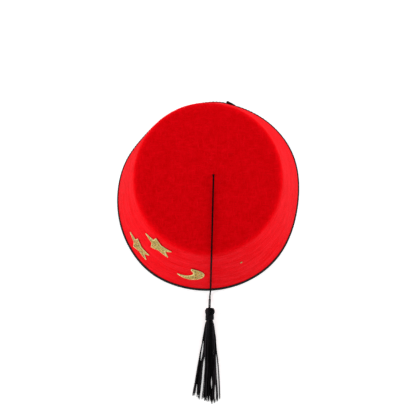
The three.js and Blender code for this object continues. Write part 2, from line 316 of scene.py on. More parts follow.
class Draft:
    """Collects closed grids and polygons into one mesh, with a flat position for every corner."""

    def __init__(self):
        self.points = []
        self.faces = []
        self.flats = []
        self.tints = []
        self.count = 0

    def add(self, points, faces, flats, tint=1.0):
        self.points.append(np.asarray(points, dtype=float).reshape(-1, 3))
        self.faces += [[corner + self.count for corner in face] for face in faces]
        self.flats += flats
        self.tints.append(np.broadcast_to(tint, len(self.points[-1])))
        self.count += len(self.points[-1])

    def add_grid(self, rows, flat, close_rows=False, tint=1.0):
        """Rows of points that each close on themselves. The first and last row are capped, or joined."""
        height, width = rows.shape[:2]
        last = height if close_rows else height - 1
        r, c = np.meshgrid(np.arange(last), np.arange(width), indexing="ij")
        right, above = (c + 1) % width, (r + 1) % height
        quads = np.stack([r * width + c, r * width + right, above * width + right, above * width + c], -1)
        corners = np.stack([flat[r, c], flat[r, c + 1], flat[r + 1, c + 1], flat[r + 1, c]], -2)
        faces = quads.reshape(-1, 4).tolist()
        flats = corners.reshape(-1, 4, 2).tolist()
        if not close_rows:
            faces += [list(range(width))[::-1], list(range((height - 1) * width, height * width))]
            flats += [flat[0, :width][::-1].tolist(), flat[-1, :width].tolist()]
        self.add(rows, faces, flats, tint)

    def build(self, name, material, replaces=(), smooth=True):
        """Makes the piece, which rides on the hat, and stands for those nodes."""
        mesh = bpy.data.meshes.new(name)
        mesh.from_pydata(np.concatenate(self.points).tolist(), [], self.faces)
        layer = mesh.uv_layers.new(name="Flat")
        corners = [x for face in self.flats for place in face for x in place]
        layer.data.foreach_set("uv", np.array(corners, np.float32))
        tint = mesh.attributes.new("tint", "FLOAT", "POINT")
        tint.data.foreach_set("value", np.concatenate(self.tints).astype(np.float32))
        shaped = bmesh.new()
        shaped.from_mesh(mesh)
        bmesh.ops.recalc_face_normals(shaped, faces=shaped.faces)
        shaped.to_mesh(mesh)
        shaped.free()
        mesh.polygons.foreach_set("use_smooth", [smooth] * len(mesh.polygons))
        mesh.materials.append(material)
        piece = new_object(name, mesh)
        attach(piece, BODY)
        if replaces:
            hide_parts(*replaces)
        return piece


def smooth_path(points, spacing):
    """A centripetal Catmull-Rom curve through the points, as points at an even spacing."""
    points = np.asarray(points, dtype=float)
    before = 2 * points[0] - points[1]
    after = 2 * points[-1] - points[-2]
    padded = np.vstack([before, points, after])
    knots = np.concatenate([[0], np.cumsum(np.linalg.norm(np.diff(padded, axis=0), axis=1) ** 0.5)])
    dense = []
    for i in range(1, len(padded) - 2):
        t = np.linspace(knots[i], knots[i + 1], 24, endpoint=False)[:, None]
        a = [((knots[k + 1] - t) * padded[k] + (t - knots[k]) * padded[k + 1]) / (knots[k + 1] - knots[k])
             for k in (i - 1, i, i + 1)]
        b = [((knots[k + 2] - t) * a[j] + (t - knots[k]) * a[j + 1]) / (knots[k + 2] - knots[k])
             for j, k in enumerate((i - 1, i))]
        dense.append(((knots[i + 1] - t) * b[0] + (t - knots[i]) * b[1]) / (knots[i + 1] - knots[i]))
    return evenly(np.vstack([*dense, points[-1:]]), spacing)


def evenly(path, spacing):
    """The same polyline with its points at an even spacing."""
    reached = travelled(path)
    stations = np.linspace(0, reached[-1], max(3, round(reached[-1] / spacing) + 1))
    return np.stack([np.interp(stations, reached, path[:, axis]) for axis in range(3)], axis=-1)


def frames_along(path, closed=False):
    """Side and up directions for each point of a path, carried along it without twist."""
    ahead = np.roll(path, -1, axis=0) - np.roll(path, 1, axis=0) if closed else np.gradient(path, axis=0)
    tangents = unit(ahead)
    start = np.array([1.0, 0.0, 0.0]) if abs(tangents[0][0]) < 0.9 else np.array([0.0, 0.0, 1.0])
    sides = []
    for tangent in tangents:
        start = start - tangent * start.dot(tangent)
        start = start / np.linalg.norm(start)
        sides.append(start)
    sides = np.array(sides)
    return sides, np.cross(tangents, sides)


def add_tube(draft, path, radius, sides=8, twist=None, closed=False, tint=1.0):
    """A tube along a path. Twist gives it plies: {"plies", "depth", "pitch"}."""
    side, up = frames_along(path, closed)
    along = travelled(path)
    around = ring_angles(sides)
    reach = np.broadcast_to(np.asarray(radius, dtype=float), len(path))[:, None]
    if twist:
        total = along[-1] + (np.linalg.norm(path[0] - path[-1]) if closed else 0)
        turns = total / twist["pitch"]
        if closed:
            turns = max(1, round(turns * twist["plies"])) / twist["plies"]
        phase = twist["plies"] * (around[None, :] - TURN * turns * along[:, None] / total) / 2
        reach = reach * (1 - twist["depth"] * (1 - np.abs(np.cos(phase))))
    else:
        reach = reach * np.ones((1, sides))
    rows = (path[:, None] + side[:, None] * (reach * np.cos(around))[..., None]
            + up[:, None] * (reach * np.sin(around))[..., None])
    if closed:
        along = np.append(along, along[-1] + np.linalg.norm(path[0] - path[-1]))
    girth = TURN * float(np.mean(radius))
    flat = flat_grid(np.linspace(0, girth, sides + 1)[None, :], along[:, None])
    draft.add_grid(rows, flat, close_rows=closed, tint=tint)


def coil(centre, axis, radius, length, turns, spacing):
    """The path of a winding round an axis through a centre."""
    axis = unit(np.asarray(axis, dtype=float))
    side = unit(np.cross(axis, [0.0, 0.0, 1.0] if abs(axis[2]) < 0.9 else [1.0, 0.0, 0.0]))
    up = np.cross(axis, side)
    count = max(12, round(TURN * radius * turns / spacing))
    share = np.linspace(0, 1, count)[:, None]
    angle = TURN * turns * share
    return (np.asarray(centre) + axis * length * (share - 0.5)
            + radius * (side * np.cos(angle) + up * np.sin(angle)))


# ---------------------------------------------------------------- shader groups and materials


class Nodes:
    """Adds and links the nodes of one tree."""

    def __init__(self, tree):
        self.tree = tree

    def add(self, kind, settings=None, **inputs):
        node = self.tree.nodes.new(kind)
        for name, value in (settings or {}).items():
            setattr(node, name, value)
        for name, value in inputs.items():
            self.join(value, node.inputs[name.replace("_", " ")])
        return node

    def join(self, value, socket):
        if isinstance(value, bpy.types.NodeSocket):
            self.tree.links.new(value, socket)
        else:
            socket.default_value = value

    def maths(self, operation, *values):
        node = self.tree.nodes.new("ShaderNodeMath")
        node.operation = operation
        for value, socket in zip(values, node.inputs):
            self.join(value, socket)
        return node.outputs[0]

    def noise(self, vector, scale, detail=2.0, roughness=0.5, distortion=0.0):
        return self.add("ShaderNodeTexNoise", Vector=vector, Scale=scale, Detail=detail,
                        Roughness=roughness, Distortion=distortion).outputs["Fac"]

    def place(self):
        return self.add("ShaderNodeTexCoord").outputs["Object"]

    def flat(self):
        return self.add("ShaderNodeUVMap", {"uv_map": "Flat"}).outputs["UV"]

    def tint(self):
        return self.add("ShaderNodeAttribute", {"attribute_name": "tint"}).outputs["Fac"]

    def stretched(self, vector, scale):
        return self.add("ShaderNodeMapping", Vector=vector, Scale=scale).outputs["Vector"]

    def blend(self, share, first, second):
        node = self.tree.nodes.new("ShaderNodeMix")
        node.data_type = "RGBA"
        self.join(share, node.inputs["Factor"])
        for value, socket in ((first, node.inputs["A"]), (second, node.inputs["B"])):
            self.join(value if isinstance(value, bpy.types.NodeSocket) else (*value, 1.0), socket)
        return node.outputs["Result"]

    def range(self, value, low, high, to_low=0.0, to_high=1.0):
        return self.add("ShaderNodeMapRange", None, Value=value, From_Min=low, From_Max=high,
                        To_Min=to_low, To_Max=to_high).outputs["Result"]


# How fine the matted fibres are along each axis: the ones that run along X, and the ones along Y.
RUN_ALONG = {"x": (150.0, 720.0, 720.0), "y": (720.0, 150.0, 720.0)}
CLOUD_SHARE = 0.22


def group(name, inputs, outputs, fill):
    """A shader node group with named sockets: inputs gives each one's kind and default."""
    tree = bpy.data.node_groups.get(name)
    if tree:
        return tree
    tree = bpy.data.node_groups.new(name, "ShaderNodeTree")
    for label, (kind, default) in inputs.items():
        socket = tree.interface.new_socket(name=label, in_out="INPUT", socket_type=kind)
        if default is not None:
            socket.default_value = default
    for label in outputs:
        tree.interface.new_socket(name=label, in_out="OUTPUT", socket_type="NodeSocketFloat")
    start = tree.nodes.new("NodeGroupInput")
    end = tree.nodes.new("NodeGroupOutput")
    results = fill(Nodes(tree), start.outputs)
    for label in outputs:
        tree.links.new(results[label], end.inputs[label])
    return tree


def matted_fibres():
    """Loose matted fibres: cloudy patches, short stretched fibres two ways, and a fine grain."""

    def fill(nodes, given):
        where, grain = given["Vector"], given["Grain"]
        clouds = nodes.noise(nodes.stretched(where, (170.0, 170.0, 170.0)), 1.0, 3.0, 0.6)
        one_way = nodes.noise(nodes.stretched(where, RUN_ALONG["x"]), 1.0, 2.0, 0.6, 0.4)
        other_way = nodes.noise(nodes.stretched(where, RUN_ALONG["y"]), 1.0, 2.0, 0.6, 0.4)
        fine = nodes.noise(where, grain, 3.0, 0.65, 0.5)
        fibres = nodes.maths("MAXIMUM", one_way, other_way)
        rough = nodes.maths("ADD", nodes.maths("MULTIPLY", fibres, 0.6), nodes.maths("MULTIPLY", fine, 0.4))
        cloudy = nodes.maths("MULTIPLY", clouds, CLOUD_SHARE)
        shade = nodes.maths("ADD", cloudy, nodes.maths("MULTIPLY", rough, 1 - CLOUD_SHARE))
        # Shade mostly follows Height, so a colour mixed by it is painted shade on the low fibres, with the
        # clouds as random tone.
        return {"Shade": nodes.range(shade, 0.44, 0.66), "Height": rough}

    return group("Matted fibres", {
        "Vector": ("NodeSocketVector", None),
        "Grain": ("NodeSocketFloat", 900.0),
    }, ["Shade", "Height"], fill)


def spun_filaments():
    """The fine filaments that run round a spun thread, from its flat position in metres."""

    def fill(nodes, given):
        spread = nodes.add("ShaderNodeSeparateXYZ", Vector=given["Vector"])
        slope = nodes.maths("MULTIPLY", spread.outputs["Y"], given["Slope"])
        across = nodes.maths("ADD", spread.outputs["X"], slope)
        lines = nodes.maths("MULTIPLY", across, nodes.maths("MULTIPLY", given["Count"], TURN))
        wave = nodes.maths("SINE", lines)
        fuzz = nodes.noise(given["Vector"], 2600.0, 2.0)
        ridges = nodes.range(wave, -1.0, 1.0, 0.0, 0.7)
        height = nodes.maths("ADD", ridges, nodes.maths("MULTIPLY", fuzz, 0.5))
        return {"Shade": nodes.range(height, 0.2, 1.0), "Height": height}

    return group("Spun filaments", {
        "Vector": ("NodeSocketVector", None),
        "Count": ("NodeSocketFloat", 4200.0),
        "Slope": ("NodeSocketFloat", 0.5),
    }, ["Shade", "Height"], fill)


def new_material(name, roughness, specular, sheen=None):
    """A Principled material with its uniform values set on the sockets."""
    material = bpy.data.materials.new(name)
    material.use_nodes = True
    shader = material.node_tree.nodes["Principled BSDF"]
    shader.inputs["Roughness"].default_value = roughness
    shader.inputs["Specular IOR Level"].default_value = specular
    if sheen:
        shader.inputs["Sheen Weight"].default_value = sheen["weight"]
        shader.inputs["Sheen Roughness"].default_value = sheen["roughness"]
        shader.inputs["Sheen Tint"].default_value = (*sheen["tint"], 1.0)
    return material, shader, Nodes(material.node_tree)


def bump(nodes, shader, height, distance, strength=1.0):
    node = nodes.add("ShaderNodeBump", Height=height, Distance=distance, Strength=strength)
    nodes.join(node.outputs["Normal"], shader.inputs["Normal"])


def place_group(nodes, tree, **inputs):
    node = nodes.tree.nodes.new("ShaderNodeGroup")
    node.node_tree = tree
    for name, value in inputs.items():
        nodes.join(value, node.inputs[name])
    return node.outputs


# The mould leaves fine lines and broader bands round the wall. Fine is how fine each is along the wall and up
# it, share is how much pink sheen is painted along it, and both fade out over the crown's edge.
MOULD = {"line_fine": (22.0, 620.0, 1.0), "line_share": 0.22, "band_fine": (30.0, 100.0, 1.0),
         "band_share": 0.17, "fades_from": 84 * MM, "gone_at": 92 * MM}


def felt_material():
    """Pressed red felt: matted fibres with shade painted in their hollows, faint lines and bands from the
    mould with a pink sheen painted along them, and the shader's own pink sheen.
    """
    colour = colours()
    sheen = {"weight": 0.1, "roughness": 0.3, "tint": colour.felt_sheen}
    material, shader, nodes = new_material("red_felt", 0.95, 0.0, sheen)
    place = nodes.place()
    fibres = place_group(nodes, matted_fibres(), Vector=place, Grain=1500.0)
    flat = nodes.flat()
    mould_lines = nodes.noise(nodes.stretched(flat, MOULD["line_fine"]), 1.0, 4.0, 0.75)
    mould_bands = nodes.noise(nodes.stretched(flat, MOULD["band_fine"]), 1.0, 4.0, 0.65)
    height = nodes.add("ShaderNodeSeparateXYZ", Vector=place).outputs["Z"]
    on_wall_only = nodes.range(height, MOULD["fades_from"], MOULD["gone_at"], 1.0, 0.0)
    lines = nodes.maths("MULTIPLY", nodes.range(mould_lines, 0.46, 0.68), on_wall_only)
    bands = nodes.maths("MULTIPLY", nodes.range(mould_bands, 0.42, 0.7), on_wall_only)
    fine = nodes.maths("MULTIPLY", lines, MOULD["line_share"])
    raised = nodes.maths("ADD", fine, nodes.maths("MULTIPLY", bands, MOULD["band_share"]))
    # Painted shade and light: deep red where the nap is low and bright red where it is raised, mixed with
    # cloudy random tone.
    red = nodes.blend(fibres["Shade"], colour.felt_deep, colour.felt_bright)
    # Painted sheen: the mould's lines and bands on the wall are mixed towards pale pink.
    lit = nodes.blend(raised, red, colour.felt_painted_sheen)
    nodes.join(lit, shader.inputs["Base Color"])
    nodes.join(nodes.range(fibres["Shade"], 0.0, 1.0, 1.0, 0.85), shader.inputs["Roughness"])
    nap = nodes.maths("ADD", fibres["Height"], nodes.maths("MULTIPLY", lines, 0.2))
    bump(nodes, shader, nap, 0.35 * MM, 0.8)
    return material


def fibre_material():
    """Single felt fibres, each a red picked at random between deep and bright."""
    colour = colours()
    sheen = {"weight": 0.15, "roughness": 0.4, "tint": colour.felt_sheen}
    material, shader, nodes = new_material("red_fibre", 0.8, 0.08, sheen)
    tint = nodes.tint()
    red = nodes.blend(tint, colour.felt_deep, colour.felt_bright)
    nodes.join(red, shader.inputs["Base Color"])
    return material


WEAVE = {"rib": 0.9 * MM, "thread": 0.45 * MM}


def tape_material():
    """Black tape with ribs across it, crossed by finer threads, with pale lint specks shown mostly on the
    raised ribs as a painted highlight.
    """
    material, shader, nodes = new_material("black_tape", 0.75, 0.07,
                                           {"weight": 0.015, "roughness": 0.5, "tint": (0.8, 0.9, 1.0)})
    flat = nodes.flat()
    spread = nodes.add("ShaderNodeSeparateXYZ", Vector=flat)
    rib = nodes.maths("SINE", nodes.maths("MULTIPLY", spread.outputs["X"], TURN / WEAVE["rib"]))
    thread = nodes.maths("SINE", nodes.maths("MULTIPLY", spread.outputs["Y"], TURN / WEAVE["thread"]))
    ribs = nodes.range(rib, -1.0, 1.0, 0.0, 0.7)
    weave = nodes.maths("ADD", ribs, nodes.range(thread, -1.0, 1.0, 0.0, 0.3))
    place = nodes.place()
    fibres = place_group(nodes, matted_fibres(), Vector=place, Grain=1800.0)
    # Lint and painted highlight: pale specks of lint, lighter where the ribs are raised, so partly a
    # highlight painted on the weave.
    lint_and_rib_highlight = nodes.range(fibres["Shade"], 0.55, 1.0, 0.0, 0.5)
    lit = tuple(3.0 * x for x in colours().tape)
    nodes.join(nodes.blend(nodes.maths("MULTIPLY", lint_and_rib_highlight, weave), colours().tape, lit),
               shader.inputs["Base Color"])
    nodes.join(nodes.range(weave, 0.0, 1.0, 0.85, 0.6), shader.inputs["Roughness"])
    bump(nodes, shader, nodes.maths("ADD", weave, nodes.maths("MULTIPLY", fibres["Height"], 0.3)), 0.18 * MM)
    return material


# Count is the filaments to a metre across the thread, and slope is how steeply they run round it.
THREADS = {
    "black_cord": {"count": 5200.0, "slope": -0.9, "roughness": 0.5, "shine": 0.015},
    "black_rayon": {"count": 3800.0, "slope": 0.35, "roughness": 0.36, "shine": 0.05},
    "black_stitch": {"count": 6000.0, "slope": 0.6, "roughness": 0.4, "shine": 0.04},
}


def thread_material(name):
    """Black spun thread whose filaments run round it at a slope, with a highlight painted on their ridges
    that makes some threads greyer than others.
    """
    thread = THREADS[name]
    roughness = thread["roughness"]
    material, shader, nodes = new_material(name, roughness, thread["shine"])
    spun = place_group(nodes, spun_filaments(), Vector=nodes.flat(), Count=thread["count"],
                       Slope=thread["slope"])
    tint = nodes.tint()
    # Painted highlight: the filaments' ridges are mixed towards grey, more so on threads with a higher tint.
    painted_highlight_mask = nodes.maths("MULTIPLY", nodes.range(spun["Shade"], 0.0, 1.0, 0.4, 1.0), tint)
    nodes.join(nodes.blend(painted_highlight_mask, colours().thread, colours().painted_thread_highlight), shader.inputs["Base Color"])
    nodes.join(nodes.range(spun["Shade"], 0.0, 1.0, roughness + 0.2, roughness - 0.05),
               shader.inputs["Roughness"])
    bump(nodes, shader, spun["Height"], 0.06 * MM)
    return material


def sheet_material():
    """The pale glue and foam between and around the flakes."""
    material, shader, nodes = new_material("glitter_sheet", 0.6, 0.35)
    place = nodes.place()
    grain = place_group(nodes, matted_fibres(), Vector=place, Grain=1200.0)
    pale = colours().glitter_sheet
    shaded = tuple(0.82 * x for x in pale)
    nodes.join(nodes.blend(grain["Shade"], shaded, pale), shader.inputs["Base Color"])
    bump(nodes, shader, grain["Height"], 0.08 * MM)
    return material


# A flake's tint runs from 0 to 1 and picks its colour: olive, brown gold, gold, pale, green and pink gold.
FLAKE_COLOURS = [
    {"tint": 0.0, "colour": (0.03, 0.028, 0.002)},
    {"tint": 0.25, "colour": (0.20, 0.13, 0.009)},
    {"tint": 0.45, "colour": (0.42, 0.22, 0.02)},
    {"tint": 0.65, "colour": (0.70, 0.48, 0.09)},
    {"tint": 0.8, "colour": (0.34, 0.40, 0.05)},
    {"tint": 1.0, "colour": (0.95, 0.26, 0.11)},
]


def flake_material():
    """Metallic flakes, each in one colour."""
    material, shader, nodes = new_material("glitter_flakes", 0.3, 0.3)
    shader.inputs["Metallic"].default_value = 0.88
    tint = nodes.tint()
    ramp = nodes.add("ShaderNodeValToRGB", Fac=tint)
    points = ramp.color_ramp.elements
    while len(points) < len(FLAKE_COLOURS):
        points.new(0.5)
    for point, stop in zip(points, FLAKE_COLOURS):
        point.position = stop["tint"]
        point.color = (*stop["colour"], 1.0)
    nodes.join(ramp.outputs["Color"], shader.inputs["Base Color"])
    speck = nodes.noise(nodes.place(), 3000.0)
    nodes.join(nodes.range(speck, 0.3, 0.7, 0.22, 0.45), shader.inputs["Roughness"])
    return material


def floor_material():
    """A pale matt floor that glows a little, more so far away, as a lit studio sweep does."""
    material, shader, nodes = new_material("studio_floor", 0.9, 0.1)
    shader.inputs["Base Color"].default_value = (*colours().floor, 1.0)
    place = nodes.place()
    away = nodes.add("ShaderNodeVectorMath", {"operation": "LENGTH"}, Vector=place).outputs["Value"]
    far = nodes.range(away, 0.4, 2.2)
    near_glow, far_glow = (STUDIO[name] for name in ("near_glow", "far_glow"))
    nodes.join(nodes.blend(far, (near_glow,) * 3, (far_glow,) * 3), shader.inputs["Emission Color"])
    shader.inputs["Emission Strength"].default_value = 1.0
    return material


# ---------------------------------------------------------------- stage

# The camera looks down on the crown from a little before the hat.
CAMERA = {"target": (0.0, -13.7 * MM, 0.0), "distance": 1.047, "elevation": 80.0, "lens": 87.2}
STUDIO = {"near_glow": 0.5, "far_glow": 0.64, "floor_size": 12.0, "air": 0.35, "backdrop": 0.95}
LAMPS = [
    {"name": "lamp_left", "azimuth": -90, "elevation": 20, "distance": 1.5, "size": 1.0, "power": 15.2},
    {"name": "lamp_right", "azimuth": 104, "elevation": 20, "distance": 1.5, "size": 1.0, "power": 14.4},
    {"name": "lamp_front", "azimuth": 0, "elevation": 18, "distance": 1.7, "size": 1.2, "power": 11.6},
    {"name": "lamp_back", "azimuth": 175, "elevation": 22, "distance": 1.7, "size": 1.2, "power": 13.6},
]


def on_sphere(azimuth, elevation, distance):
    """A point at that azimuth from the front towards +X, elevation and distance, from the origin."""
    turn, rise = math.radians(azimuth), math.radians(elevation)
    level = math.cos(rise)
    return Vector((math.sin(turn) * level, -math.cos(turn) * level, math.sin(rise))) * distance


def aim(thing, target):
    thing.rotation_euler = (Vector(target) - thing.location).to_track_quat("-Z", "Y").to_euler()


def make_camera():
    data = bpy.data.cameras.new("camera")
    data.lens = CAMERA["lens"]
    data.clip_start = 0.02
    camera = new_object("camera", data)
    camera.location = Vector(CAMERA["target"]) + on_sphere(0, CAMERA["elevation"], CAMERA["distance"])
    aim(camera, CAMERA["target"])
    bpy.context.scene.camera = camera


def make_lamps():
    for lamp in LAMPS:
        data = bpy.data.lights.new(lamp["name"], "AREA")
        data.shape = "DISK"
        data.size = lamp["size"]
        data.energy = lamp["power"]
        light = new_object(lamp["name"], data)
        light.location = on_sphere(lamp["azimuth"], lamp["elevation"], lamp["distance"])
        aim(light, (0.0, 0.0, 0.05))
        light.visible_camera = False


def make_world():
    """Soft light from all round. What the camera sees past the floor has the floor's own far tone."""
    world = bpy.data.worlds.new("studio_air")
    bpy.context.scene.world = world
    world.use_nodes = True
    nodes = Nodes(world.node_tree)
    air = world.node_tree.nodes["Background"]
    air.inputs["Color"].default_value = (1.0, 1.0, 1.0, 1.0)
    air.inputs["Strength"].default_value = STUDIO["air"]
    backdrop = nodes.add("ShaderNodeBackground", Color=(1.0, 1.0, 1.0, 1.0), Strength=STUDIO["backdrop"])
    seen = nodes.add("ShaderNodeLightPath").outputs["Is Camera Ray"]
    mixed = world.node_tree.nodes.new("ShaderNodeMixShader")
    nodes.join(seen, mixed.inputs[0])
    nodes.join(air.outputs[0], mixed.inputs[1])
    nodes.join(backdrop.outputs[0], mixed.inputs[2])
    nodes.join(mixed.outputs[0], world.node_tree.nodes["World Output"].inputs["Surface"])


class FEZ_OT_stage(bpy.types.Operator):
    """Set up the camera, the pale floor, the lamps and the air of the studio"""

    bl_idname = "fez.stage"
    bl_label = "Studio"

    def execute(self, context):
        make_camera()
        half = STUDIO["floor_size"] / 2
        mesh = bpy.data.meshes.new("studio_floor")
        corners = [(-half, -half, 0), (half, -half, 0), (half, half, 0), (-half, half, 0)]
        mesh.from_pydata(corners, [], [(0, 1, 2, 3)])
        mesh.materials.append(floor_material())
        new_object("studio_floor", mesh)
        make_lamps()
        make_world()
        context.scene.view_settings.view_transform = "Standard"
        return {"FINISHED"}


# ---------------------------------------------------------------- cord and knots

CORD_TWIST = {"plies": 3, "depth": 0.3, "pitch": 5.2 * MM}
THREAD_TWIST = {"plies": 2, "depth": 0.35, "pitch": 2.6 * MM}
# Each knot is a winding of this many turns: reach is its radius to the thread's middle.
STOP_KNOT = {"turns": 2.6, "reach": 1.5 * MM, "length": 2.6 * MM, "thread": 0.8 * MM}
END_KNOT = {"turns": 3.6, "reach": 0.5 * MM, "length": 1.8 * MM, "thread": 0.42 * MM, "past_middle": 0.5 * MM}
# How much highlight is painted on a thread's filaments, from 0 for plain black to 1 for the full highlight
# colour.
CORD_HIGHLIGHT = 0.04


def cord_ends():
    """The knots' middles: below the hole, and where the cord meets the tassel's loop."""
    below, above = (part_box(name) for name in ("stop_knot", "end_knot"))
    return [np.array((box[0] + box[1]) / 2) for box in (below, above)]


class FEZ_OT_cord(bpy.types.Operator):
    """Lay the twisted crown cord along its route, with its two knots and the tassel's loop"""

    bl_idname = "fez.cord"
    bl_label = "Cord, knots and loop"

    def execute(self, context):
        size = sizes()
        cord_finish = thread_material("black_cord")
        path = smooth_path(np.array(CORD_ROUTE) * MM, 0.34 * MM)
        draft = Draft()
        add_tube(draft, path, size.cord_diameter / 2, 18, CORD_TWIST, tint=CORD_HIGHLIGHT)
        cord = draft.build("crown_cord", cord_finish, ["tassel_cord"])

        stop, end = cord_ends()
        draft = Draft()
        knot = STOP_KNOT
        winding = coil(stop, (1, 0.2, 0), knot["reach"], knot["length"], knot["turns"], 0.3 * MM)
        add_tube(draft, winding, knot["thread"], 12, CORD_TWIST, tint=CORD_HIGHLIGHT)
        stop_knot = draft.build("cord_stop_knot", cord_finish, ["stop_knot"])

        draft = Draft()
        knot = END_KNOT
        centre = end + np.array([0, knot["past_middle"], 0])
        winding = coil(centre, (0.1, 1, 0), knot["reach"], knot["length"], knot["turns"], 0.12 * MM)
        add_tube(draft, winding, knot["thread"], 10, THREAD_TWIST, tint=CORD_HIGHLIGHT)
        end_knot = draft.build("cord_end_knot", cord_finish, ["end_knot"])
        loop = make_loop(cord_finish)

        return {"FINISHED"}


LOOP = {"length": 11.6 * MM, "width": 2.5 * MM, "thread": 0.64 * MM, "low": 1.2 * MM, "high": 4.6 * MM,
        "into_head": 1.2 * MM}


def in_tassel(points):
    """Moves points of the tassel's own axes (across, along, up) to where the tassel lies."""
    across, along, up = np.moveaxis(np.asarray(points, dtype=float), -1, 0)
    lean = math.radians(TASSEL["lean"])
    x = TASSEL["x"] + across * math.cos(lean) + along * math.sin(lean)
    y = TASSEL["y"] + across * math.sin(lean) - along * math.cos(lean)
    return np.stack([x, y, up], axis=-1)


def make_loop(finish):
    """The thread loop that the tassel hangs by: a flat ring from the knot up to the head."""
    radius = LOOP["width"] / 2 - LOOP["thread"]
    half = (LOOP["length"] - LOOP["width"]) / 2
    turn = np.linspace(0, TURN, 96, endpoint=False)
    across = radius * np.sin(turn)
    lengthwise = radius * np.cos(turn) + half * np.tanh(4 * np.cos(turn))
    rise = (LOOP["high"] - LOOP["low"]) / LOOP["length"]
    run = math.sqrt(1 - rise**2)
    middle = LOOP["into_head"] - LOOP["length"] * run / 2
    along = middle + lengthwise * run
    up = (LOOP["low"] + LOOP["high"]) / 2 + lengthwise * rise
    path = in_tassel(np.stack([across, along, up], axis=-1))
    path = evenly(np.vstack([path, path[:1]]), 0.2 * MM)[:-1]
    draft = Draft()
    add_tube(draft, path, LOOP["thread"], 10, THREAD_TWIST, closed=True, tint=CORD_HIGHLIGHT)
    return draft.build("tassel_hanging_loop", finish, ["tassel_loop"])


# ---------------------------------------------------------------- tassel

# Few highlighted is the power on each strand's random tint, so only a few strands carry much painted
# highlight.
STRAND = {"step": 0.6 * MM, "pitch": 4.2 * MM, "sides": 6, "neck_squeeze": 0.74, "open_tip": 3.0,
          "few_highlighted": 5}
# How a strand lies once it has left the neck, in millimetres along it: it spreads and loosens, the bundle
# flattens, and the tip splays and droops. Ends is how much sooner or later than its neighbours it may end.
LAY = {"spread": 14, "loosen": 30, "flatten": 75, "tip_splay": 12, "tip_droop": 14, "ends": (-2.8, 2.4)}
# How far strands stray from their place, in millimetres, and over what length they sway. Aside is a share of
# the skirt's width, and inner and droop are shares of the way to the surface and down to the floor.
STRAY = {"aside": 0.012, "wander": (0.04, 0.13), "wander_length": (25, 70), "splay": 0.45, "lift": 0.2,
         "lift_length": (40, 70), "inner": (0.2, 0.6), "droop": (0.3, 0.9)}
NECK = {"from": 7.4, "to": 13.8}
# The wrap's highlight share is how much painted highlight its thread and the core carry.
WRAP = {"from": 7.7, "to": 12.6, "turns": 3.2, "radius": 3.75 * MM, "thread": 0.8 * MM, "highlight_share": 0.2}
WRAP_TWIST = {"plies": 2, "depth": 0.3, "pitch": 3.4 * MM}
# Where along the tassel its strands end, in millimetres, by place across the skirt from -1 to 1.
TIPS = {"across": (-1.0, -0.6, -0.2, 0.4, 0.8, 1.0), "along": (88.0, 89.0, 92.0, 95.0, 92.5, 91.0)}


def bundle_at(along, column):
    """A column of the bundle's table between its rows, with the corners eased."""
    stations = [row["along"] for row in BUNDLE]
    values = [row[column] for row in BUNDLE]
    eased = [np.interp(along + shift, stations, values) for shift in (-1.2, -0.6, 0.0, 0.6, 1.2)]
    return sum(eased) / len(eased)


def skirt_across(share, along):
    """Where a strand lies across the skirt: share runs from 0 at the left edge to 1 at the right one."""
    shares = [0.0, *(parting["share"] for parting in PARTINGS), 1.0]
    piece = int(np.searchsorted(shares[1:-1], share))
    left = np.interp(along, SKIRT_ALONG, SKIRT_EDGES["left"])
    right = np.interp(along, SKIRT_ALONG, SKIRT_EDGES["right"])
    half = sizes().strand_diameter / MM / 2
    low, high = left + half, right - half
    if piece > 0:
        parting = PARTINGS[piece - 1]
        low = np.interp(along, SKIRT_ALONG, parting["across"])
        low = low + np.interp(along, SKIRT_ALONG, parting["open"]) * (1 + half)
    if piece < len(PARTINGS):
        parting = PARTINGS[piece]
        high = np.interp(along, SKIRT_ALONG, parting["across"])
        high = high - np.interp(along, SKIRT_ALONG, parting["open"]) * (1 + half)
    inside = (share - shares[piece]) / (shares[piece + 1] - shares[piece])
    return low + (high - low) * inside


def strand_path(rng, share, angle, layer, over_head):
    """One strand's middle line, from its place round the neck at that angle to its place in the skirt."""
    thick = sizes().strand_diameter / MM
    across = 2 * share - 1
    end = np.interp(across, TIPS["across"], TIPS["along"]) + rng.uniform(*LAY["ends"])
    start = 0.8 if over_head else NECK["from"]
    along = np.arange(start, end, STRAND["step"] / MM)
    reach = bundle_at(along, "half_width") - 0.5 * thick
    if over_head:
        reach = np.maximum(reach, 0.8)
    else:
        reach = reach * rng.uniform(*STRAY["inner"])
    round_x = HEAD_ASIDE + reach * math.sin(angle)
    round_z = bundle_at(along, "middle") + reach * math.cos(angle)
    loose = np.clip((along - NECK["to"]) / LAY["loosen"], 0, 1)
    wander = sum(
        rng.uniform(*STRAY["wander"])
        * np.sin(TURN * (along / rng.uniform(*STRAY["wander_length"]) + rng.uniform()))
        for _ in range(3)
    )
    tip = np.clip((along - end + LAY["tip_splay"]) / LAY["tip_splay"], 0, 1)
    splay = rng.normal(0.0, STRAY["splay"]) * tip**2
    spread_x = skirt_across(share, along) + wander * loose + splay
    swell = np.clip(1 - (along - NECK["to"]) / LAY["flatten"], 0, 1) ** 1.3
    dome = 0.86 + 0.3 * math.cos(across * math.pi / 2)
    spread_z = (0.5 + layer * dome) * thick + swell * (bundle_at(along, "middle") - 2.2) * (0.2 + 0.3 * layer)
    sway = np.sin(TURN * (along / rng.uniform(*STRAY["lift_length"]) + rng.uniform()))
    spread_z = spread_z + STRAY["lift"] * sway * loose * layer
    droop = np.clip((along - end + LAY["tip_droop"]) / LAY["tip_droop"], 0, 1) ** 2
    spread_z = spread_z - droop * (spread_z - 0.5 * thick) * rng.uniform(*STRAY["droop"])
    free = np.clip((along - NECK["to"]) / LAY["spread"], 0, 1)
    free = free * free * (3 - 2 * free)
    x = round_x + (spread_x - round_x) * free
    z = np.maximum(round_z + (spread_z - round_z) * free, 0.5 * thick + 0.02)
    return np.stack([x, along, z], axis=-1) * MM


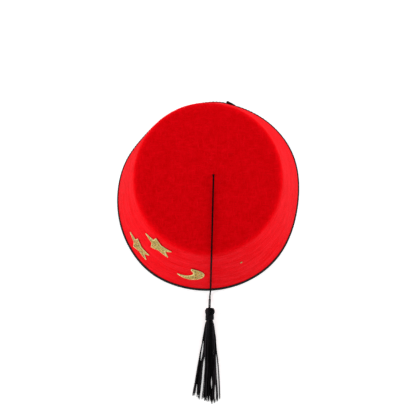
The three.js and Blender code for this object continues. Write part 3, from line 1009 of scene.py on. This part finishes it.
def add_strand(draft, rng, path):
    """Two plies twisted round the strand's middle line, opening and thinning at the tip."""
    side, up = frames_along(path)
    reached = travelled(path)
    along = path[:, 1] / MM
    to_tip = (along[-1] - along) / STRAND["open_tip"]
    squeeze = 1 - (1 - STRAND["neck_squeeze"]) * np.exp(-(((along - 11) / 4.5) ** 4))
    opened = 1 + 0.7 * np.clip(1 - to_tip, 0, 1) ** 2
    quarter = sizes().strand_diameter / 4
    phase = rng.uniform(0, TURN)
    tint = rng.uniform() ** STRAND["few_highlighted"]
    for ply in range(2):
        turn = TURN * reached / STRAND["pitch"] + phase + math.pi * ply
        offset = quarter * 0.98 * squeeze * opened
        centre = path + side * (offset * np.cos(turn))[:, None] + up * (offset * np.sin(turn))[:, None]
        centre[:, 2] = np.maximum(centre[:, 2], quarter)
        radius = quarter * 1.08 * squeeze * np.clip(0.35 + 0.65 * to_tip * 1.6, 0.35, 1)
        add_tube(draft, in_tassel(centre), radius, STRAND["sides"], tint=tint)


def add_core(draft):
    """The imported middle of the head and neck, behind the strands."""
    along = np.linspace(1.0, 15.0, 24)
    half = np.maximum(bundle_at(along, "half_width") - 1.1, 0.4)
    half[0] = half[-1] = 0.3
    around = np.linspace(0, TURN, 24, endpoint=False)
    x = HEAD_ASIDE + half[:, None] * np.sin(around)
    z = bundle_at(along, "middle")[:, None] + half[:, None] * np.cos(around)
    y = np.broadcast_to(along[:, None], x.shape)
    rows = in_tassel(np.stack([x, y, z], axis=-1) * MM)
    flat = flat_grid(np.linspace(0, 20 * MM, 25)[None, :], along[:, None] * MM)
    draft.add_grid(rows, flat, tint=WRAP["highlight_share"])


class FEZ_OT_tassel(bpy.types.Operator):
    """Hang the tassel's strands over its head, part its skirt and wind its neck"""

    bl_idname = "fez.tassel"
    bl_label = "Tassel"

    def execute(self, context):
        finish = thread_material("black_rayon")
        rng = np.random.default_rng(5)
        count = sizes().strand_count
        draft = Draft()
        add_core(draft)
        for layer, facing in enumerate((math.pi, None, 0.0)):
            for i in range(count):
                share = (i + (0.2, 0.5, 0.8)[layer]) / count
                if facing is None:
                    angle = (share - 0.5) * math.pi + math.pi * (i % 2)
                else:
                    angle = facing + (share - 0.5) * math.pi * (1 if layer else -1)
                share = float(np.clip(share + rng.uniform(-STRAY["aside"], STRAY["aside"]), 0.0, 1.0))
                add_strand(draft, rng, strand_path(rng, share, angle, layer, facing is not None))
        draft.build("tassel_skirt", finish, ["tassel_strands"])

        draft = Draft()
        middle = (WRAP["from"] + WRAP["to"]) / 2
        centre = in_tassel(np.array([HEAD_ASIDE, middle, float(bundle_at(middle, "middle"))]) * MM)
        axis = in_tassel([0, 1, 0]) - in_tassel([0, 0, 0])
        length = (WRAP["to"] - WRAP["from"]) * MM
        winding = coil(centre, axis, WRAP["radius"], length, WRAP["turns"], 0.3 * MM)
        add_tube(draft, winding, WRAP["thread"], 12, WRAP_TWIST, tint=WRAP["highlight_share"])
        draft.build("tassel_neck_wrap", finish, ["tassel_wrap"])
        return {"FINISHED"}


# ---------------------------------------------------------------- felt

FELT_GRID = {"around": 360, "wall": 54, "edge": 22, "dome": 40, "hole": 3, "inside": 40}
# How strongly the rounded edge is drawn towards its corner: 1 is a plain parabola.
EDGE_PULL = 1.9
FELT_SWELLS = [
    {"wavelength": 42 * MM, "share": 0.6, "seed": 21},
    {"wavelength": 11 * MM, "share": 0.28, "seed": 22},
    {"wavelength": 4 * MM, "share": 0.12, "seed": 23},
]


def felt_outside():
    """The felt's outer face as rows of radius and height, from the foot to the hole."""
    size = sizes()
    share = np.linspace(0, 1, FELT_GRID["wall"], endpoint=False)
    z = size.felt_foot + (size.wall_top - size.felt_foot) * share
    wall = np.stack([wall_radius(z), z], axis=-1)
    t = np.linspace(0, 1, FELT_GRID["edge"], endpoint=False)[:, None]
    corners = np.array([
        [size.shoulder_radius, size.wall_top],
        [size.edge_radius, size.edge_height],
        [size.dome_radius, size.dome_foot],
    ])
    pull = EDGE_PULL * 2 * t * (1 - t)
    edge = ((1 - t) ** 2 * corners[0] + pull * corners[1] + t**2 * corners[2]) / ((1 - t) ** 2 + pull + t**2)
    lip = CORD_HOLE["lip"]
    radius = np.linspace(size.dome_radius, CORD_HOLE["radius"] + lip, FELT_GRID["dome"])
    rise = size.dome_top - size.dome_foot
    dome = np.stack([radius, size.dome_top - rise * (radius / size.dome_radius) ** 2], axis=-1)
    turn = np.linspace(0, math.pi / 2, FELT_GRID["hole"] + 2)[1:]
    rounded = np.stack([
        CORD_HOLE["radius"] + lip * (1 - np.sin(turn)),
        dome[-1][1] - lip * (1 - np.cos(turn)),
    ], axis=-1)
    return np.vstack([wall, edge, dome, rounded])


def felt_inside(outside):
    """The inner face, one thickness in from a coarser copy of the outer one, from the hole to the foot."""
    size = sizes()
    picks = np.linspace(0, len(outside) - FELT_GRID["hole"] - 3, FELT_GRID["inside"]).round().astype(int)
    along = unit(np.gradient(outside, axis=0))[picks]
    inside = outside[picks] + np.stack([-along[:, 1], along[:, 0]], axis=-1) * size.felt_thickness
    inside[0] = (wall_radius(size.felt_foot, -size.felt_thickness), size.felt_foot)
    return inside[::-1]


class FEZ_OT_felt(bpy.types.Operator):
    """Mould the felt cap, soften its face and let loose fibres stand off it"""

    bl_idname = "fez.felt"
    bl_label = "Felt cap"

    def execute(self, context):
        size = sizes()
        outside = felt_outside()
        profile = np.vstack([outside, felt_inside(outside)])
        angle = ring_angles(FELT_GRID["around"])
        rows = on_hat(angle[None, :], profile[:, :1], profile[:, 1:])
        steps = unit(np.gradient(profile, axis=0))
        outwards = np.stack([
            steps[:, 1:] * np.sin(angle), -steps[:, 1:] * np.cos(angle), -steps[:, :1] + 0 * angle], axis=-1)
        swell = sum(s["share"] * ripple(rows, s["wavelength"], s["seed"]) for s in FELT_SWELLS)
        shown = np.zeros(len(profile))
        shown[: len(outside)] = 1
        shown *= np.clip((profile[:, 1] - size.tape_height) / (4 * MM), 0, 1)
        shown *= np.clip((profile[:, 0] - 2 * CORD_HOLE["radius"]) / (4 * MM), 0, 1)
        rows = rows + outwards * (swell * shown[:, None] * size.felt_unevenness)[..., None]

        down = travelled(profile)
        down = np.append(down, down[-1] + size.felt_thickness)
        across = np.linspace(0, TURN * size.rim_radius, FELT_GRID["around"] + 1)
        flat = flat_grid(across[None, :], down[:, None])
        draft = Draft()
        draft.add_grid(rows, flat, close_rows=True)
        draft.build("felt_cap", felt_material(), ["hat_body"])
        add_loose_fibres(rows[: len(outside)], outwards[: len(outside)])
        return {"FINISHED"}


FIBRE = {"length": (0.9 * MM, 2.6 * MM), "radius": 0.028 * MM, "stand": 0.45 * MM, "scatter": 0.5 * MM,
         "bend": 0.5, "thins": 0.6, "root": -0.05 * MM, "tints": (0.3, 1.0)}


def add_loose_fibres(rows, outwards):
    """Short curved fibres, each held by the felt at one end, three-sided and closed."""
    rng = np.random.default_rng(31)
    count = sizes().fibre_count
    weight = np.linalg.norm(rows - rows.mean(axis=1, keepdims=True), axis=-1).mean(axis=1)
    height = np.linalg.norm(np.gradient(rows, axis=0), axis=-1).mean(axis=1)
    share = weight * height * (rows[:, :, 2].mean(axis=1) > sizes().tape_height)
    row = rng.choice(len(rows), count, p=share / share.sum())
    column = rng.integers(0, rows.shape[1], count)
    normal = unit(outwards[row, column])
    root = rows[row, column] + rng.normal(scale=FIBRE["scatter"], size=(count, 3))
    root = root - normal * ((root - rows[row, column]) * normal).sum(-1, keepdims=True)
    run = unit(np.cross(normal, rng.normal(size=(count, 3))))
    bend = np.cross(normal, run) * rng.uniform(-FIBRE["bend"], FIBRE["bend"], (count, 1))
    length = rng.uniform(*FIBRE["length"], (count, 1))
    stand = FIBRE["stand"] * rng.uniform(0.1, 1.0, (count, 1)) ** 2
    tint = rng.uniform(*FIBRE["tints"], count)
    draft = Draft()
    sides = [[a + i, a + i + 3, a + (i + 1) % 3 + 3, a + (i + 1) % 3] for a in (0, 3) for i in range(3)]
    faces = [*sides, [0, 1, 2], [8, 7, 6]]
    flats = [[(0.0, 0.0)] * len(face) for face in faces]
    corners = [(math.cos(a), math.sin(a)) for a in (0.0, TURN / 3, 2 * TURN / 3)]
    across = np.cross(normal, run)
    points = []
    for share_along, lift in ((0.0, FIBRE["root"]), (0.5, 0.7), (1.0, 1.0)):
        middle = root + run * length * share_along + bend * length * share_along**2
        middle = middle + normal * (stand * lift if share_along else lift)
        radius = FIBRE["radius"] * (1 - FIBRE["thins"] * share_along)
        points += [middle + radius * (x * across + y * normal) for x, y in corners]
    points = np.stack(points, axis=1)
    for i in range(count):
        draft.add(points[i], faces, flats, tint[i])
    draft.build("felt_loose_fibres", fibre_material())


# ---------------------------------------------------------------- binding tape

TAPE = {"around": 720, "gap": 0.18 * MM, "wave": 0.22 * MM, "pucker": 0.06 * MM, "bend": 1.5 * MM,
        "flat_from": 3 * MM}
LAP = {"from": 163.2, "at": 168.9, "rise": 2.0 * MM, "steps": 40}
# The stitches' highlight share is how much painted highlight their thread carries.
STITCH = {"length": 2.3 * MM, "radius": 0.18 * MM, "below_edge": 1.3 * MM, "sink": 0.2 * MM,
          "slant": 0.12 * MM, "highlight_share": 0.15}


def tape_faces():
    """How far the tape's outer and inner faces stand out from the felt's outer face."""
    size = sizes()
    return TAPE["gap"] + size.tape_thickness, -size.felt_thickness - TAPE["gap"] - size.tape_thickness


def tape_section():
    """The folded tape in section, as distance out from the felt's outer face and height."""
    thick, top = sizes().tape_thickness, sizes().tape_height
    out_face, in_face = tape_faces()
    bend = TAPE["bend"]
    outer = [(out_face, z) for z in np.linspace(top - 0.4 * thick, bend, 12)]
    turn = np.linspace(0, math.pi / 2, 6)[1:]
    outer += [(out_face - bend * (1 - math.cos(a)), bend - bend * math.sin(a)) for a in turn]
    turn = np.linspace(0, math.pi / 2, 6)
    outer += [(in_face + bend * (1 - math.sin(a)), bend - bend * math.cos(a)) for a in turn]
    outer += [(in_face, z) for z in np.linspace(bend, top - 0.4 * thick, 12)[1:]]
    hem_in = [(in_face + 0.3 * thick, top), (in_face + 0.8 * thick, top - 0.05 * thick)]
    inner = [(in_face + thick, z) for z in (top - 0.4 * thick, 3 * MM, 1.6 * MM)]
    inner += [(in_face + 1.6 * thick, thick + 0.15 * MM), (out_face - 1.6 * thick, thick + 0.15 * MM)]
    inner += [(out_face - thick, z) for z in (1.6 * MM, 3 * MM, top - 0.4 * thick)]
    hem_out = [(out_face - 0.8 * thick, top - 0.05 * thick), (out_face - 0.3 * thick, top)]
    return np.array(outer + hem_in + inner + hem_out)


def tape_rows(angle, section, lift=0.0):
    """The section set round the rim, its edge a little wavy and puckered between the stitches."""
    size = sizes()
    out, z = section[:, 0][None, :], section[:, 1][None, :]
    angle = angle[:, None]
    high = np.clip((z - TAPE["flat_from"]) / (size.tape_height - TAPE["flat_from"]), 0, 1)
    wave = np.sin(9 * angle + 1.0) + 0.7 * np.sin(23 * angle + 2.0) + 0.5 * np.sin(51 * angle)
    z = z + high * (TAPE["wave"] * wave / 2 - 0.5 * TAPE["wave"])
    stitches = round(TURN * size.rim_radius / size.stitch_pitch)
    pucker = TAPE["pucker"] * high * np.cos(stitches * angle)
    outside = np.where(out > -size.felt_thickness / 2, 1.0, -1.0)
    return on_hat(angle, wall_radius(z, out + pucker * outside + lift * (outside > 0)), z)


def section_run(section):
    """How far round the closed section each of its corners lies."""
    return travelled(np.vstack([section, section[:1]]))


class FEZ_OT_tape(bpy.types.Operator):
    """Fold the black tape over the rim, lap its end at the back and stitch it"""

    bl_idname = "fez.tape"
    bl_label = "Binding tape"

    def execute(self, context):
        finish = tape_material()
        section = tape_section()
        rows = tape_rows(ring_angles(TAPE["around"]), section)
        length = np.linspace(0, TURN * sizes().rim_radius, TAPE["around"] + 1)
        flat = flat_grid(length[:, None], section_run(section)[None, :])
        draft = Draft()
        draft.add_grid(rows, flat, close_rows=True)
        draft.build("rim_tape", finish, ["rim_binding"])
        self.add_lap(finish)
        self.add_stitches()
        return {"FINISHED"}

    def add_lap(self, finish):
        """The tape's overlapping end, folded under on itself: a small lump that thins out along the rim."""
        size = sizes()
        thick, top = size.tape_thickness * 1.4, size.tape_height
        out_face = tape_faces()[0]
        heights = np.linspace(0.7 * MM, top + 0.1 * MM, 12)
        tuck = np.where(heights < 1.6 * MM, (1.6 * MM - heights) * 0.8, 0)
        outer = np.stack([out_face + thick - tuck, heights], axis=-1)
        inner = np.stack([out_face + 0.02 * MM - tuck, heights], axis=-1)[::-1]
        section = np.vstack([outer, inner])
        share = np.linspace(0, 1, LAP["steps"])
        angle = np.radians(LAP["from"] + (LAP["at"] - LAP["from"]) * share)
        share = share[:, None]
        rounded = 1 - 0.35 * np.clip((share - 0.8) / 0.2, 0, 1) ** 2
        on_top = np.arange(len(section)) < len(outer)
        lift = LAP["rise"] * share**1.2 * rounded * on_top * (0.6 + 0.4 * section[None, :, 1] / top)
        rows = tape_rows(angle, section, lift - 0.5 * thick * (1 - share) ** 4)
        flat = flat_grid((angle * size.rim_radius)[:, None], section_run(section)[None, :])
        draft = Draft()
        draft.add_grid(rows, flat)
        draft.build("rim_tape_end", finish)

    def add_stitches(self):
        """One row of stitches near each edge of the tape, outside and inside."""
        size = sizes()
        finish = thread_material("black_stitch")
        count = round(TURN * size.rim_radius / size.stitch_pitch)
        height = size.tape_height - STITCH["below_edge"]
        draft = Draft()
        for face, outwards in zip(tape_faces(), (1.0, -1.0)):
            for i in range(count):
                middle = TURN * (i + 0.5) / count
                if outwards > 0 and LAP["from"] - 1 < math.degrees(middle) < LAP["at"] + 1:
                    continue
                share = np.linspace(-1, 1, 7)
                angle = middle + share * STITCH["length"] / 2 / size.rim_radius
                out = face + outwards * (0.1 * MM - STITCH["sink"] * np.abs(share) ** 3)
                slant = STITCH["slant"] * share
                path = on_hat(angle, wall_radius(height + slant, out), height + slant)
                thin = STITCH["radius"] * (1 - 0.45 * np.abs(share) ** 4)
                add_tube(draft, path, thin, 6, tint=STITCH["highlight_share"])
        draft.build("rim_stitches", finish)


# ---------------------------------------------------------------- glitter shapes

SHEET = {"outline_step": 0.7 * MM, "inner_step": 1.5 * MM, "shoulder": 0.16 * MM, "lift": 0.3 * MM,
         "top_lift": 0.8 * MM, "lifts_over": 15 * MM}
FLAKE = {"per_mm2": 4.2, "border": 0.8 * MM, "tilt": 0.34, "thickness": 0.16, "patches": 2.8 * MM,
         "above_sheet": (-0.02, 0.1), "sizes": (0.65, 1.3), "tint": 0.47, "patch_tint": 0.3, "own_tint": 0.27}


def star_outline(turned):
    tips, far, near = STAR["tips"], STAR["tip_radius"], STAR["notch_radius"]
    corners = []
    for i in range(2 * tips):
        angle = math.radians(90 + turned) + math.pi * i / tips
        radius = near if i % 2 else far
        corners.append((radius * math.cos(angle), radius * math.sin(angle) * STAR["flattened"]))
    return np.array(corners)


def crescent_outline():
    """A disc with a round bite out of it, towards the direction that it is turned to, and blunt horns."""
    radius, bite, offset = CRESCENT["radius"], CRESCENT["bite_radius"], CRESCENT["bite_offset"]
    upper, lower = math.radians(CRESCENT["upper_cut"]), math.radians(CRESCENT["lower_cut"])
    outer_horn = math.acos((radius**2 + offset**2 - bite**2) / (2 * radius * offset))
    inner_horn = math.pi - math.acos((bite**2 + offset**2 - radius**2) / (2 * bite * offset))
    opening = math.radians(CRESCENT["turned"])
    middle = offset * np.array([math.cos(opening), math.sin(opening)])
    start, end = opening + outer_horn + lower, opening + TURN - outer_horn - upper
    sweep = np.linspace(start, end, 61)
    to_bite = radius / bite
    start, end = opening - inner_horn - upper * to_bite, opening - TURN + inner_horn + lower * to_bite
    back = np.linspace(start, end, 47)
    outer = radius * np.stack([np.cos(sweep), np.sin(sweep)], axis=-1)
    inner = middle + bite * np.stack([np.cos(back), np.sin(back)], axis=-1)
    return np.vstack([outer, inner])


def even_outline(corners, step, rounding):
    """Points along a closed outline at about that step, its corners cut round."""
    closed = np.vstack([corners, corners[:1]])
    loop = evenly(np.column_stack([closed, np.zeros(len(closed))]), step)[:-1, :2]
    for _ in range(rounding):
        loop = 0.5 * loop + 0.25 * (np.roll(loop, 1, axis=0) + np.roll(loop, -1, axis=0))
    return loop


def inset(loop, distance):
    """The loop moved inwards by a distance, square to its neighbours."""
    ahead = unit(np.roll(loop, -1, axis=0) - np.roll(loop, 1, axis=0))
    return loop + distance * np.stack([-ahead[:, 1], ahead[:, 0]], axis=-1)


def distance_to(loop, points):
    """The distance of each point from the loop's nearest stretch, and whether the loop holds it."""
    start, step = loop[None], (np.roll(loop, -1, axis=0) - loop)[None]
    rel = points[:, None] - start
    share = np.clip((rel * step).sum(-1) / (step**2).sum(-1), 0, 1)
    distance = np.linalg.norm(rel - share[..., None] * step, axis=-1).min(axis=1)
    y0, y1 = start[..., 1], start[..., 1] + step[..., 1]
    crosses = (y0 > points[:, None, 1]) != (y1 > points[:, None, 1])
    at_x = start[..., 0] + (points[:, None, 1] - y0) / np.where(y1 == y0, 1e-12, y1 - y0) * step[..., 0]
    return distance, (crosses & (at_x > points[:, None, 0])).sum(axis=1) % 2 == 1


def scattered(loop, spacing, margin):
    """Points of a staggered grid inside the loop, clear of its edge."""
    low, high = loop.min(axis=0), loop.max(axis=0)
    columns = np.arange(low[0], high[0], spacing)
    rows = np.arange(low[1], high[1], spacing * 0.87)
    grid = np.array([(x + (0.5 * spacing if j % 2 else 0), y) for j, y in enumerate(rows) for x in columns])
    distance, held = distance_to(loop, grid)
    return grid[held & (distance > margin)]


def sheet_foot(up):
    """How far the sheet's back stands off the felt: its upper edge has come a little loose."""
    return SHEET["lift"] + SHEET["top_lift"] * np.clip(up / SHEET["lifts_over"], 0, 1) ** 1.5


def add_sheet(draft, loop, at, height):
    """A shape cut from sheet and laid on the wall, its upper edge a little rounded."""
    size = sizes()
    top = inset(loop, SHEET["shoulder"])
    inner = scattered(top, SHEET["inner_step"], 0.5 * SHEET["inner_step"])
    flat = np.vstack([top, inner])
    count = len(loop)
    ring = [(i, (i + 1) % count) for i in range(count)]
    found = delaunay_2d_cdt([Vector(p) for p in flat], ring, [list(range(count))], 1, 1e-7)
    points, faces = np.array([tuple(v) for v in found[0]]), [list(f) for f in found[2]]
    if len(points) != len(flat):
        raise RuntimeError("the outline of a glitter shape crosses itself")
    face = size.sheet_thickness
    upper = on_wall(points, at, height, sheet_foot(points[:, 1]) + face)
    shoulder = on_wall(loop, at, height, sheet_foot(loop[:, 1]) + face - SHEET["shoulder"])
    foot = on_wall(loop, at, height, sheet_foot(loop[:, 1]))
    lower = on_wall(points, at, height, sheet_foot(points[:, 1]))
    a, b, c = (len(points) + k * count for k in range(3))
    skirt = []
    for i, j in ring:
        skirt += [[i, j, a + j, a + i], [a + i, a + j, b + j, b + i], [b + i, b + j, c + j, c + i]]
    under = [[c + k for k in face[::-1]] for face in faces]
    everything = np.vstack([upper, shoulder, foot, lower])
    flats = np.vstack([points, loop, loop, points])
    all_faces = faces + skirt + under
    draft.add(everything, all_faces, [[tuple(flats[k]) for k in face] for face in all_faces])


def add_flakes(draft, rng, loop, at, height):
    """Closed six-sided flakes strewn over the sheet, each with its own tilt, size and tint."""
    size = sizes()
    low, high = loop.min(axis=0), loop.max(axis=0)
    tries = int(np.prod((high - low) / MM) * FLAKE["per_mm2"])
    spots = rng.uniform(low, high, (tries, 2))
    distance, held = distance_to(loop, spots)
    near_edge = distance / (2 * FLAKE["border"])
    spots = spots[held & (distance > FLAKE["border"] * 0.5) & (rng.uniform(size=tries) < near_edge)]
    count = len(spots)
    level = sheet_foot(spots[:, 1]) + size.sheet_thickness + rng.uniform(*FLAKE["above_sheet"], count) * MM
    centre = on_wall(spots, at, height, level)
    right, above = (unit(on_wall(spots + near, at, height, level) - centre) for near in np.eye(2) * 0.1 * MM)
    tilt = rng.normal(scale=FLAKE["tilt"], size=(count, 2, 1))
    outwards = np.cross(right, above)
    right = unit(right + outwards * tilt[:, 0])
    above = unit(above + outwards * tilt[:, 1])
    outwards = unit(np.cross(right, above))
    above = np.cross(outwards, right)
    radius = size.flake_size * rng.uniform(*FLAKE["sizes"], (count, 1))
    spin = rng.uniform(0, TURN, (count, 1))
    rim = []
    for i in range(6):
        turn = spin + TURN * i / 6
        rim.append(centre + radius * (np.cos(turn) * right + np.sin(turn) * above))
    tips = [centre + s * outwards * radius * FLAKE["thickness"] for s in (1, -1)]
    points = np.stack(rim + tips, axis=1)
    faces = [[i, (i + 1) % 6, 6] for i in range(6)] + [[(i + 1) % 6, i, 7] for i in range(6)]
    patches = ripple(centre, FLAKE["patches"], 40)
    own = rng.normal(0.0, FLAKE["own_tint"], count)
    tints = np.clip(FLAKE["tint"] + FLAKE["patch_tint"] * patches + own, 0.0, 1.0)
    for i in range(count):
        place = tuple(spots[i])
        draft.add(points[i], faces, [[place] * 3] * 12, tints[i])


class FEZ_OT_glitter(bpy.types.Operator):
    """Cut the stars and the crescent from sheet, strew them with flakes and drop one flake beside them"""

    bl_idname = "fez.glitter"
    bl_label = "Glitter shapes"

    def execute(self, context):
        sheet, flakes = sheet_material(), flake_material()
        shapes = [(s["node"], star_outline(s["turned"]), s["at"], s["height"], s["seed"]) for s in STARS]
        shapes.append(("crescent", crescent_outline(), CRESCENT["at"], CRESCENT["height"], 13))
        for node, corners, at, height, seed in shapes:
            loop = even_outline(corners, SHEET["outline_step"], 1)
            draft = Draft()
            add_sheet(draft, loop, at, height)
            draft.build(node + "_sheet", sheet, [node])
            draft = Draft()
            add_flakes(draft, np.random.default_rng(seed), loop, at, height)
            draft.build(node + "_flakes", flakes, smooth=False)
        self.add_lost_flake(flakes)
        return {"FINISHED"}

    def add_lost_flake(self, finish):
        """A single flake that stuck to the felt."""
        half = LOST_FLAKE["size"]
        loop = np.array([(-1.1, -0.9), (0.3, -1.3), (1.1, -0.2), (0.7, 1.2), (-0.6, 1.1)]) * half
        low = on_wall(loop, LOST_FLAKE["at"], LOST_FLAKE["height"], 0.25 * MM)
        high = on_wall(loop * 0.9, LOST_FLAKE["at"], LOST_FLAKE["height"], 0.6 * MM)
        rows = np.stack([low, high])
        flat = np.stack([np.vstack([loop, loop[:1]])] * 2)
        draft = Draft()
        draft.add_grid(rows, flat, tint=0.35)
        draft.build("loose_flake", finish, smooth=False)


# ---------------------------------------------------------------- panel and run

OPERATORS = [FEZ_OT_stage, FEZ_OT_cord, FEZ_OT_tassel, FEZ_OT_felt, FEZ_OT_tape, FEZ_OT_glitter]


class FEZ_PT_panel(bpy.types.Panel):
    """The fez's pieces, sizes and colours"""

    bl_idname = "FEZ_PT_panel"
    bl_label = "Fez"
    bl_space_type = "VIEW_3D"
    bl_region_type = "UI"
    bl_category = "Fez"

    def draw(self, context):
        column = self.layout.column()
        for operator in OPERATORS:
            column.operator(operator.bl_idname)
        for group_name in ("fez_sizes", "fez_colours"):
            values = getattr(context.scene, group_name)
            box = self.layout.box()
            for name in values.bl_rna.properties.keys():
                if name not in ("rna_type", "name"):
                    box.prop(values, name)


CLASSES = [FezSizes, FezColours, *OPERATORS, FEZ_PT_panel]


def register():
    for cls in CLASSES:
        bpy.utils.register_class(cls)
    bpy.types.Scene.fez_sizes = PointerProperty(type=FezSizes)
    bpy.types.Scene.fez_colours = PointerProperty(type=FezColours)


def unregister():
    del bpy.types.Scene.fez_colours
    del bpy.types.Scene.fez_sizes
    for cls in reversed(CLASSES):
        bpy.utils.unregister_class(cls)


def main():
    register()
    bpy.ops.fez.stage()
    bpy.ops.fez.cord()
    bpy.ops.fez.tassel()
    bpy.ops.fez.felt()
    bpy.ops.fez.tape()
    bpy.ops.fez.glitter()


if __name__ == "__main__":
    main()
